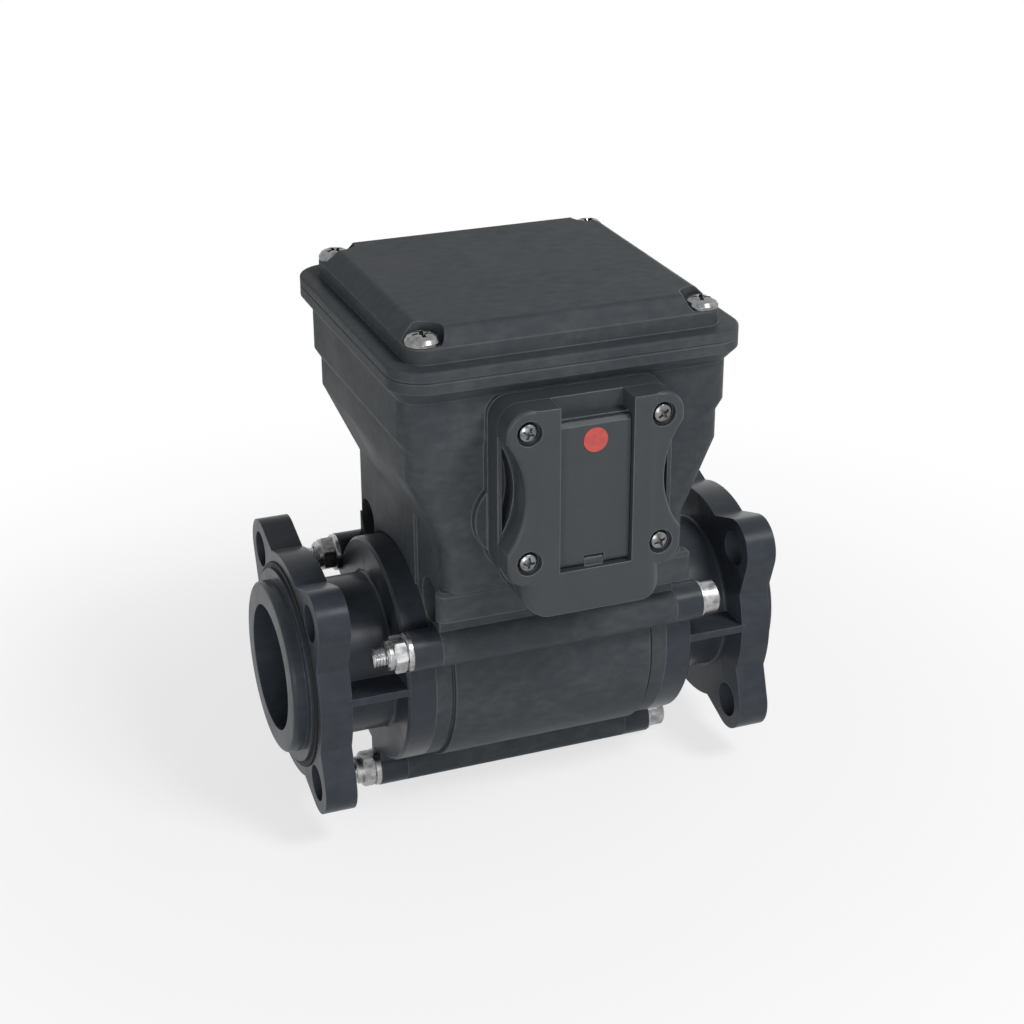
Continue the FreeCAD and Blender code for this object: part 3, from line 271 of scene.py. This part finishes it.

# shared by these finishes: clouds with flecks in them pale the face, and a highlight is painted on an edge
# where the rounded normal leans away from the face's, from flatDot on and fully at the dot listed after it
mouldedPattern = {"cloudDetail": 6.0, "cloudRoughness": 0.62, "cloudDistortion": 0.6,
                  "flecksPerCloud": 9, "fleckDetail": 5.0, "plainBelow": 0.17, "palestAbove": 0.42,
                  "flatDot": 0.999, "highlightFullDot": 0.90, "edgeSamples": 6,
                  "glossBelow": 0.3, "dullAbove": 0.7, "glossier": 0.06, "duller": 0.1,
                  "grainDetail": 2.0, "grainBump": 0.6}


def makeMouldedPlastic(name, values):
    material, nodes, links = newMaterial(name)
    pattern = mouldedPattern
    place, streaked = patternPlaces(nodes, links, values["streak"])
    clouds = addNoise(nodes, links, place, {
        "Scale": values["cloudPerMetre"], "Detail": pattern["cloudDetail"],
        "Roughness": pattern["cloudRoughness"], "Distortion": pattern["cloudDistortion"]})
    flecks = addNoise(nodes, links, streaked, {
        "Scale": values["cloudPerMetre"] * pattern["flecksPerCloud"], "Detail": pattern["fleckDetail"]})
    grain = addNoise(nodes, links, place, {
        "Scale": values["grainPerMetre"], "Detail": pattern["grainDetail"]})
    paleness = ranged(nodes, links, product(nodes, links, clouds, flecks), pattern["plainBelow"],
                      pattern["palestAbove"], 0.0, values["paleShare"])
    edge = roundedEdge(nodes, values["edgeMm"], pattern["edgeSamples"])
    # edges where the rounded normal leans away from the face's get a painted highlight
    lean = addNode(nodes, "ShaderNodeVectorMath", operation="DOT_PRODUCT")
    links.new(edge, lean.inputs[0])
    links.new(addNode(nodes, "ShaderNodeNewGeometry").outputs["Normal"], lean.inputs[1])
    paintedEdgeHighlight = ranged(nodes, links, lean.outputs["Value"], pattern["flatDot"], pattern["highlightFullDot"],
                  0.0, values["edgeShare"])
    face = mixed(nodes, links, values["colour"], values["pale"], paleness)
    # the edge colour mixed in here is a painted highlight, broken up by the clouds
    colour = mixed(nodes, links, face, values["edge"], product(nodes, links, paintedEdgeHighlight, clouds))
    rough = ranged(nodes, links, clouds, pattern["glossBelow"], pattern["dullAbove"],
                   values["roughness"] - pattern["glossier"], values["roughness"] + pattern["duller"])
    bump = bumped(nodes, links, grain, pattern["grainBump"], values["grainMm"], edge)
    finishMaterial(nodes, links, {"Specular IOR Level": values["specular"]}, colour, rough, bump)
    return material


metalFinishes = {
    "zincSteel": {"colour": (0.42, 0.42, 0.42), "dull": (0.16, 0.16, 0.17), "roughness": 0.30,
                  "scratchPerMetre": 900, "patchPerMetre": 420, "stretch": 10.0, "edgeMm": 0.16},
    "polishedSteel": {"colour": (0.24, 0.24, 0.24), "dull": (0.10, 0.10, 0.10), "roughness": 0.26,
                      "scratchPerMetre": 1400, "patchPerMetre": 520, "stretch": 4.0, "edgeMm": 0.14},
    "softIron": {"colour": (0.14, 0.14, 0.15), "dull": (0.08, 0.07, 0.07), "roughness": 0.45,
                 "scratchPerMetre": 500, "patchPerMetre": 260, "stretch": 3.0, "edgeMm": 0.1},
    "copperWire": {"colour": (0.50, 0.20, 0.07), "dull": (0.34, 0.12, 0.05), "roughness": 0.3,
                   "scratchPerMetre": 700, "patchPerMetre": 260, "stretch": 16.0, "edgeMm": 0.1},
}

# shared by the metals: dull patches, and scratches that vary the gloss and dent the surface
metalPattern = {"patchDetail": 3.0, "brightBelow": 0.42, "dullAbove": 0.7, "dullShare": 0.9,
                "scratchDetail": 4.0, "glossBelow": 0.3, "roughAbove": 0.7, "glossiest": 0.7,
                "roughest": 1.6, "scratchBump": 0.35, "scratchMm": 0.02, "edgeSamples": 6}


def makeMetal(name, values):
    material, nodes, links = newMaterial(name)
    pattern = metalPattern
    place, drawn = patternPlaces(nodes, links, 1 / values["stretch"])
    scratches = addNoise(nodes, links, drawn, {
        "Scale": values["scratchPerMetre"], "Detail": pattern["scratchDetail"]})
    patches = addNoise(nodes, links, place, {
        "Scale": values["patchPerMetre"], "Detail": pattern["patchDetail"]})
    dullness = ranged(nodes, links, patches, pattern["brightBelow"], pattern["dullAbove"],
                      0.0, pattern["dullShare"])
    colour = mixed(nodes, links, values["colour"], values["dull"], dullness)
    rough = ranged(nodes, links, scratches, pattern["glossBelow"], pattern["roughAbove"],
                   values["roughness"] * pattern["glossiest"], values["roughness"] * pattern["roughest"])
    edge = roundedEdge(nodes, values["edgeMm"], pattern["edgeSamples"])
    bump = bumped(nodes, links, scratches, pattern["scratchBump"], pattern["scratchMm"], edge)
    finishMaterial(nodes, links, {"Metallic": 1.0}, colour, rough, bump)
    return material


glossFinishes = {
    "redLens": {"colour": (0.36, 0.048, 0.040), "vary": 0.34, "roughness": 0.40, "perMetre": 700},
    "boardGreen": {"colour": (0.02, 0.12, 0.05), "vary": 0.3, "roughness": 0.25, "perMetre": 300},
    "blackEpoxy": {"colour": (0.02, 0.02, 0.02), "vary": 0.2, "roughness": 0.35, "perMetre": 700},
    "terminalGreen": {"colour": (0.03, 0.25, 0.08), "vary": 0.15, "roughness": 0.4, "perMetre": 400},
    "leadSleeve": {"colour": (0.5, 0.5, 0.48), "vary": 0.15, "roughness": 0.45, "perMetre": 600},
}
glossPattern = {"detail": 4.0, "glossier": 0.05, "duller": 0.1, "bump": 0.2, "bumpMm": 0.01}


def makeGloss(name, values):
    material, nodes, links = newMaterial(name)
    pattern = glossPattern
    place = addNode(nodes, "ShaderNodeTexCoord").outputs["Object"]
    drift = addNoise(nodes, links, place, {"Scale": values["perMetre"], "Detail": pattern["detail"]})
    low = 1 - values["vary"]
    darker = tuple(channel * low for channel in values["colour"])
    brighter = tuple(channel / low for channel in values["colour"])
    colour = mixed(nodes, links, darker, brighter, drift)
    rough = ranged(nodes, links, drift, 0.0, 1.0, values["roughness"] - pattern["glossier"],
                   values["roughness"] + pattern["duller"])
    bump = bumped(nodes, links, drift, pattern["bump"], pattern["bumpMm"])
    finishMaterial(nodes, links, {}, colour, rough, bump)
    return material


slotFinish = {
    "housing_plastic": "housingPlastic", "fitting_plastic": "fittingPlastic", "pod_plastic": "podPlastic",
    "seal_rubber": "sealRubber", "zinc_steel": "zincSteel", "stainless": "polishedSteel",
    "red_lens": "redLens", "board_green": "boardGreen", "copper_coil": "copperWire",
    "soft_iron": "softIron", "black_component": "blackEpoxy", "nylon_ring": "nylonRing",
    "terminal_green": "terminalGreen", "lead_wire": "leadSleeve",
}


def makeFinishes():
    made = {}
    for table, maker in ((mouldedFinishes, makeMouldedPlastic), (metalFinishes, makeMetal),
                         (glossFinishes, makeGloss)):
        for name, values in table.items():
            made[name] = maker(name, values)
    return made


def nodeSlots():
    return {row["node"]: row["material_slot"] for row in frame["record"]["subparts"]}


def setMaterial(piece, material):
    piece.data.materials.clear()
    piece.data.materials.append(material)
    for face in piece.data.polygons:
        face.material_index = 0


# shading: smooth over curves, sharp where two faces meet at more than this
shading = {"mergeMm": 0.004, "sharpDegrees": 28.0}


def mergeDoubles(work):
    bmesh.ops.remove_doubles(work, verts=work.verts, dist=shading["mergeMm"] * mm)


def shadeByAngle(work):
    limit = math.radians(shading["sharpDegrees"])
    for edge in work.edges:
        edge.smooth = len(edge.link_faces) == 2 and edge.calc_face_angle(0) < limit
    for face in work.faces:
        face.smooth = True


def placePiece(mesh, name, node, slot):
    piece = bpy.data.objects.new(name, mesh)
    bpy.context.scene.collection.objects.link(piece)
    setMaterial(piece, finishes[slotFinish[slot]])
    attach(piece, frame["nodes"][node]["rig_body"])
    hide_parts(node)


weldedNodes = {"flow_body": "flowBodyShell", "lid": "headLid", "left_fitting": "leftFitting",
               "right_fitting": "rightFitting", "pod_base": "podBase", "pod_cover": "podCover",
               "service_flap": "serviceFlap"}


# a copy of a node's loose triangles, merged and shaded, stands in for the node
def weldNode(node, name):
    mesh = frame["nodes"][node].data.copy()
    mesh.name = name
    work = bmesh.new()
    work.from_mesh(mesh)
    mergeDoubles(work)
    shadeByAngle(work)
    work.to_mesh(mesh)
    work.free()
    if "custom_normal" in mesh.attributes:
        mesh.attributes.remove(mesh.attributes["custom_normal"])
    placePiece(mesh, name, node, nodeSlots()[node])


# lowest and highest corner of every loose piece inside one node, in millimetres
def looseBoxes(node):
    work = bmesh.new()
    work.from_mesh(frame["nodes"][node].data)
    mergeDoubles(work)
    boxes, seen = [], set()
    for start in work.verts:
        if start in seen:
            continue
        group, wait = [], [start]
        seen.add(start)
        while wait:
            vert = wait.pop()
            group.append(vert.co / mm)
            for edge in vert.link_edges:
                other = edge.other_vert(vert)
                if other not in seen:
                    seen.add(other)
                    wait.append(other)
        boxes.append([Vector(pick(point[axis] for point in group) for axis in range(3))
                      for pick in (min, max)])
    work.free()
    return boxes


def middle(box):
    return (box[0] + box[1]) / 2


def rightEnd(box, inset=0.0):
    return Vector((box[1].x - inset, middle(box).y, middle(box).z))


# a tree with named inputs; sizes come in as millimetres and are turned to metres when it is used
def startTree(name, sizes):
    tree = bpy.data.node_groups.new(name, "GeometryNodeTree")
    tree.interface.new_socket("Places", in_out="INPUT", socket_type="NodeSocketGeometry")
    for size in sizes:
        tree.interface.new_socket(size, in_out="INPUT", socket_type="NodeSocketFloat")
    tree.interface.new_socket("Turn", in_out="INPUT", socket_type="NodeSocketVector")
    tree.interface.new_socket("Finish", in_out="INPUT", socket_type="NodeSocketMaterial")
    tree.interface.new_socket("Geometry", in_out="OUTPUT", socket_type="NodeSocketGeometry")
    given = tree.nodes.new("NodeGroupInput")
    return tree, given


# a plain number is set on the socket, and anything else is linked to it
def feed(tree, value, socket):
    if isinstance(value, (int, float)):
        socket.default_value = value
    else:
        tree.links.new(value, socket)


def calculate(tree, operation, *values):
    node = addNode(tree.nodes, "ShaderNodeMath", operation=operation)
    for value, socket in zip(values, node.inputs):
        feed(tree, value, socket)
    return node.outputs[0]


def plus(tree, first, second):
    return calculate(tree, "ADD", first, second)


def minus(tree, first, second):
    return calculate(tree, "SUBTRACT", first, second)


def times(tree, first, second):
    return calculate(tree, "MULTIPLY", first, second)


def vectorOf(tree, x=0.0, y=0.0, z=0.0):
    node = addNode(tree.nodes, "ShaderNodeCombineXYZ")
    for value, socket in zip((x, y, z), node.inputs):
        feed(tree, value, socket)
    return node.outputs[0]


def raised(tree, geometry, height):
    node = addNode(tree.nodes, "GeometryNodeTransform")
    feed(tree, geometry, node.inputs["Geometry"])
    feed(tree, vectorOf(tree, z=height), node.inputs["Translation"])
    return node.outputs[0]


roundSides = 48
hexSides = 6


# a closed round post standing on z = 0, going evenly from its low radius to its high one
def taperedPost(tree, low, high, height, sides=roundSides):
    node = addNode(tree.nodes, "GeometryNodeMeshCone", {"Vertices": sides}, fill_type="NGON")
    feed(tree, low, node.inputs["Radius Bottom"])
    feed(tree, high, node.inputs["Radius Top"])
    feed(tree, height, node.inputs["Depth"])
    return node.outputs["Mesh"]


def straightPost(tree, radius, height, sides=roundSides, rings=1):
    node = addNode(tree.nodes, "GeometryNodeMeshCylinder", {"Vertices": sides, "Fill Segments": rings},
                   fill_type="TRIANGLE_FAN" if rings > 1 else "NGON")
    feed(tree, radius, node.inputs["Radius"])
    feed(tree, height, node.inputs["Depth"])
    return raised(tree, node.outputs["Mesh"], calculate(tree, "DIVIDE", height, 2.0))


def combine(tree, operation, first, second):
    node = addNode(tree.nodes, "GeometryNodeMeshBoolean", operation=operation, solver="EXACT")
    feed(tree, first, node.inputs["Mesh 1" if operation == "DIFFERENCE" else "Mesh 2"])
    feed(tree, second, node.inputs["Mesh 2"])
    return node.outputs["Mesh"]


# a post whose top rim, and with both set its foot too, is cut back at 45 degrees
def chamferedPost(tree, radius, height, chamfer, sides=roundSides, both=False):
    wide = minus(tree, plus(tree, radius, height), chamfer)
    narrow = minus(tree, radius, chamfer)
    post = combine(tree, "INTERSECT", straightPost(tree, radius, height, sides),
                   taperedPost(tree, wide, narrow, height))
    if both:
        post = combine(tree, "INTERSECT", post, taperedPost(tree, narrow, wide, height))
    return post


# a round hole cut by a drill whose foot stands at the given height; it is longer than the body
def drilled(tree, body, radius, foot, length):
    drill = raised(tree, straightPost(tree, radius, length), foot)
    return combine(tree, "DIFFERENCE", body, drill)


# puts the finished thing on every given place, turned, spun by chance up to the spin, and made real
def finishTree(tree, given, thing, spin=0.0, seed=0):
    put = addNode(tree.nodes, "GeometryNodeInstanceOnPoints")
    feed(tree, given.outputs["Places"], put.inputs["Points"])
    feed(tree, thing, put.inputs["Instance"])
    feed(tree, given.outputs["Turn"], put.inputs["Rotation"])
    chance = addNode(tree.nodes, "FunctionNodeRandomValue", {"Seed": seed}, data_type="FLOAT")
    chance.inputs[3].default_value = spin  # the single number's maximum, whose name others share
    spun = addNode(tree.nodes, "GeometryNodeRotateInstances", {"Local Space": True})
    feed(tree, put.outputs[0], spun.inputs["Instances"])
    feed(tree, vectorOf(tree, z=chance.outputs[1]), spun.inputs["Rotation"])
    real = addNode(tree.nodes, "GeometryNodeRealizeInstances")
    feed(tree, spun.outputs[0], real.inputs["Geometry"])
    paint = addNode(tree.nodes, "GeometryNodeSetMaterial")
    feed(tree, real.outputs[0], paint.inputs["Geometry"])
    feed(tree, given.outputs["Finish"], paint.inputs["Material"])
    end = tree.nodes.new("NodeGroupOutput")
    feed(tree, paint.outputs[0], end.inputs["Geometry"])
    return tree


# runs a tree on a cloud of places and keeps the result as a plain mesh
def runTree(tree, places, sizes, turn, name, node):
    slot = nodeSlots()[node]
    cloud = bpy.data.meshes.new(name + "Places")
    cloud.from_pydata([place * mm for place in places], [], [])
    carrier = bpy.data.objects.new(name + "Carrier", cloud)
    bpy.context.scene.collection.objects.link(carrier)
    modifier = carrier.modifiers.new(name, "NODES")
    modifier.node_group = tree
    values = {size: length * mm for size, length in sizes.items()}
    values.update({"Turn": turn, "Finish": finishes[slotFinish[slot]]})
    for socket in tree.interface.items_tree:
        if socket.in_out == "INPUT" and socket.name in values:
            modifier[socket.identifier] = values[socket.name]
    ready = carrier.evaluated_get(bpy.context.evaluated_depsgraph_get())
    mesh = bpy.data.meshes.new_from_object(ready)
    carrier.modifiers.clear()
    bpy.data.objects.remove(carrier)
    mesh.name = name
    work = bmesh.new()
    work.from_mesh(mesh)
    mergeDoubles(work)
    bare = [edge for edge in work.edges if not edge.link_faces]  # left in the recesses by the cuts
    bmesh.ops.delete(work, geom=bare, context="EDGES")
    shadeByAngle(work)
    work.to_mesh(mesh)
    work.free()
    placePiece(mesh, name, node, slot)
    print(name, "made:", len(mesh.polygons), "faces at", len(places), "places")


# pan head screws with a cross recess; the seed turns each recess its own way
lidScrewSizes = {"Head Radius": 5.1, "Head Wall": 0.9, "Head Crown": 2.0, "Recess Reach": 2.9,
                 "Recess Width": 1.15, "Recess Depth": 1.9}
podScrewSizes = {"Head Radius": 3.0, "Head Wall": 0.7, "Head Crown": 1.3, "Recess Reach": 1.8,
                 "Recess Width": 0.75, "Recess Depth": 1.3}
# seats are millimetres in from the CAD heads' outermost points, hollow radii shares of the width
screwDetails = {"lidSeat": 3.8, "podSeat": 2.2, "headRings": 7, "crownPower": 2.4,
                "hollowFoot": 0.2, "hollowTop": 1.25, "hollowSides": 16, "seed": 7}


# a short post whose top face is lifted to a crown that falls off steeply at the rim
def crownedHead(tree, size):
    post = straightPost(tree, size["Head Radius"], size["Head Wall"], rings=screwDetails["headRings"])
    place = addNode(tree.nodes, "GeometryNodeInputPosition")
    apart = addNode(tree.nodes, "ShaderNodeSeparateXYZ")
    feed(tree, place.outputs[0], apart.inputs[0])
    x, y, z = apart.outputs
    reach = calculate(tree, "SQRT", plus(tree, calculate(tree, "POWER", x, 2.0),
                                         calculate(tree, "POWER", y, 2.0)))
    share = calculate(tree, "POWER", calculate(tree, "DIVIDE", reach, size["Head Radius"]),
                      screwDetails["crownPower"])
    left = calculate(tree, "MAXIMUM", minus(tree, 1.0, share), 0.0)
    rise = times(tree, size["Head Crown"], calculate(tree, "SQRT", left))
    upper = calculate(tree, "GREATER_THAN", z, times(tree, size["Head Wall"], 0.5))
    dome = addNode(tree.nodes, "GeometryNodeSetPosition")
    feed(tree, post, dome.inputs["Geometry"])
    feed(tree, upper, dome.inputs["Selection"])
    feed(tree, vectorOf(tree, z=rise), dome.inputs["Offset"])
    return dome.outputs[0]


def makeScrewTree():
    tree, given = startTree("panHeadScrew", lidScrewSizes)
    size = given.outputs
    screw = crownedHead(tree, size)
    top = plus(tree, size["Head Wall"], size["Head Crown"])
    long, wide = times(tree, size["Recess Reach"], 2.0), size["Recess Width"]
    deep = times(tree, size["Recess Depth"], 2.0)  # the arms are centred on the crown's top
    for x, y in ((long, wide), (wide, long)):
        arm = addNode(tree.nodes, "GeometryNodeMeshCube")
        feed(tree, vectorOf(tree, x, y, deep), arm.inputs["Size"])
        screw = combine(tree, "DIFFERENCE", screw, raised(tree, arm.outputs["Mesh"], top))
    hollow = taperedPost(tree, times(tree, wide, screwDetails["hollowFoot"]),
                         times(tree, wide, screwDetails["hollowTop"]), size["Recess Depth"],
                         sides=screwDetails["hollowSides"])
    hollow = raised(tree, hollow, minus(tree, top, size["Recess Depth"]))
    screw = combine(tree, "DIFFERENCE", screw, hollow)
    return finishTree(tree, given, screw, math.tau, screwDetails["seed"])


# tie bolts: a flat washer, a socket head on the right and a cut thread at the left end
boltSizes = {"Washer Radius": 5.9, "Washer Height": 0.9, "Head Radius": 5.1, "Head Height": 5.4,
             "Head Chamfer": 0.5, "Socket Radius": 2.89, "Socket Depth": 3.0, "Shank Radius": 3.0,
             "Root Radius": 2.55, "Ridge": 0.45, "Thread Length": 7.5, "Tip": 0.6}
# the washer's chamfer as a share of its height
boltDetails = {"washerChamfer": 0.2, "pitchMm": 1.0, "stepsPerTurn": 36, "ridgeSides": 4, "seed": 3}


# a ridge of square section wound along the root, whose outer corner is the thread's crest
def makeThread(tree, size, end):
    pitch = boltDetails["pitchMm"] * mm
    turns = calculate(tree, "DIVIDE", minus(tree, size["Thread Length"], size["Ridge"]), pitch)
    helix = addNode(tree.nodes, "GeometryNodeCurveSpiral", {"Resolution": boltDetails["stepsPerTurn"]})
    feed(tree, turns, helix.inputs["Rotations"])
    feed(tree, size["Root Radius"], helix.inputs["Start Radius"])
    feed(tree, size["Root Radius"], helix.inputs["End Radius"])
    feed(tree, times(tree, turns, pitch), helix.inputs["Height"])
    upright = addNode(tree.nodes, "GeometryNodeSetCurveNormal", mode="Z_UP")
    feed(tree, helix.outputs[0], upright.inputs["Curve"])
    ridge = addNode(tree.nodes, "GeometryNodeCurvePrimitiveCircle", {"Resolution": boltDetails["ridgeSides"]})
    feed(tree, size["Ridge"], ridge.inputs["Radius"])
    sweep = addNode(tree.nodes, "GeometryNodeCurveToMesh", {"Fill Caps": True})
    feed(tree, upright.outputs[0], sweep.inputs["Curve"])
    feed(tree, ridge.outputs[0], sweep.inputs["Profile Curve"])
    return raised(tree, sweep.outputs[0], plus(tree, end, size["Ridge"]))


def makeBoltTree():
    tree, given = startTree("tieBolt", list(boltSizes) + ["Length"])
    size = given.outputs
    washer = chamferedPost(tree, size["Washer Radius"], size["Washer Height"],
                           times(tree, size["Washer Height"], boltDetails["washerChamfer"]))
    head = chamferedPost(tree, size["Head Radius"], size["Head Height"], size["Head Chamfer"])
    long = times(tree, size["Socket Depth"], 2.0)  # the half of it over the head cuts nothing
    socket = straightPost(tree, size["Socket Radius"], long, hexSides)
    socket = raised(tree, socket, minus(tree, size["Head Height"], size["Socket Depth"]))
    head = raised(tree, combine(tree, "DIFFERENCE", head, socket), size["Washer Height"])
    plain = minus(tree, size["Length"], size["Thread Length"])
    shank = raised(tree, straightPost(tree, size["Shank Radius"], plain), times(tree, plain, -1.0))
    end = times(tree, size["Length"], -1.0)
    core = plus(tree, size["Thread Length"], size["Tip"])
    root = raised(tree, chamferedPost(tree, size["Root Radius"], core, size["Tip"], both=True), end)
    bolt = addNode(tree.nodes, "GeometryNodeJoinGeometry")
    for part in (washer, head, shank, root, makeThread(tree, size, end)):
        feed(tree, part, bolt.inputs[0])
    return finishTree(tree, given, bolt.outputs[0], math.tau, boltDetails["seed"])


# lock nuts: a hexagon chamfered at both ends and a rolled collar over the locking ring
nutSizes = {"Corner Radius": 5.7735, "Height": 4.0, "Chamfer": 0.55, "Collar Radius": 4.5,
            "Collar Height": 2.0, "Collar Chamfer": 0.7, "Hole Radius": 3.1}
nutSeed = 5


def makeNutTree():
    tree, given = startTree("lockNut", nutSizes)
    size = given.outputs
    block = chamferedPost(tree, size["Corner Radius"], size["Height"], size["Chamfer"], hexSides, True)
    sunk = plus(tree, size["Collar Height"], size["Chamfer"])
    collar = chamferedPost(tree, size["Collar Radius"], sunk, size["Collar Chamfer"])
    collar = raised(tree, collar, minus(tree, size["Height"], size["Chamfer"]))
    nut = combine(tree, "UNION", block, collar)
    whole = plus(tree, size["Height"], times(tree, size["Collar Height"], 2.0))
    nut = drilled(tree, nut, size["Hole Radius"], times(tree, whole, -0.5), times(tree, whole, 2.0))
    return finishTree(tree, given, nut, math.tau / hexSides, nutSeed)


washerSizes = {"Radius": 6.0, "Height": 1.6, "Chamfer": 0.3, "Hole Radius": 3.25}


def makeWasherTree():
    tree, given = startTree("flatWasher", washerSizes)
    size = given.outputs
    disc = chamferedPost(tree, size["Radius"], size["Height"], size["Chamfer"])
    foot, length = times(tree, size["Height"], -1.0), times(tree, size["Height"], 3.0)
    return finishTree(tree, given, drilled(tree, disc, size["Hole Radius"], foot, length))


def makeFasteners():
    screwTree = makeScrewTree()
    seat = screwDetails["lidSeat"]
    places = [Vector((middle(box).x, middle(box).y, box[1].z - seat)) for box in looseBoxes("lid_screws")]
    runTree(screwTree, places, lidScrewSizes, (0, 0, 0), "lidScrews", "lid_screws")
    seat = screwDetails["podSeat"]
    places = [Vector((middle(box).x, box[0].y + seat, middle(box).z)) for box in looseBoxes("pod_screws")]
    runTree(screwTree, places, podScrewSizes, (math.pi / 2, 0, 0), "podScrews", "pod_screws")
    boxes = looseBoxes("tie_bolts")
    headHeight = boltSizes["Washer Height"] + boltSizes["Head Height"]
    sizes = {**boltSizes, "Length": boxes[0][1].x - boxes[0][0].x - headHeight}
    places = [rightEnd(box, headHeight) for box in boxes]
    runTree(makeBoltTree(), places, sizes, (0, math.pi / 2, 0), "tieBolts", "tie_bolts")
    for makeTree, sizes, name, node in ((makeNutTree, nutSizes, "tieNuts", "tie_nuts"),
                                        (makeWasherTree, washerSizes, "tieWashers", "tie_washers")):
        places = [rightEnd(box) for box in looseBoxes(node)]
        runTree(makeTree(), places, sizes, (0, -math.pi / 2, 0), name, node)


makeCamera(photoCamera)
makeLamps(studioLamps, studio["aim"])
makeWorld(studio["worldLevel"])
makeFloor(studio)
bpy.context.scene.view_settings.view_transform = "Standard"
print("camera and studio made")

finishes = makeFinishes()
for node, slot in nodeSlots().items():
    setMaterial(frame["nodes"][node], finishes[slotFinish[slot]])
print("finishes made and set on the carried-over nodes:", len(finishes))

for node, name in weldedNodes.items():
    weldNode(node, name)
print("main mouldings welded:", len(weldedNodes))

makeFasteners()
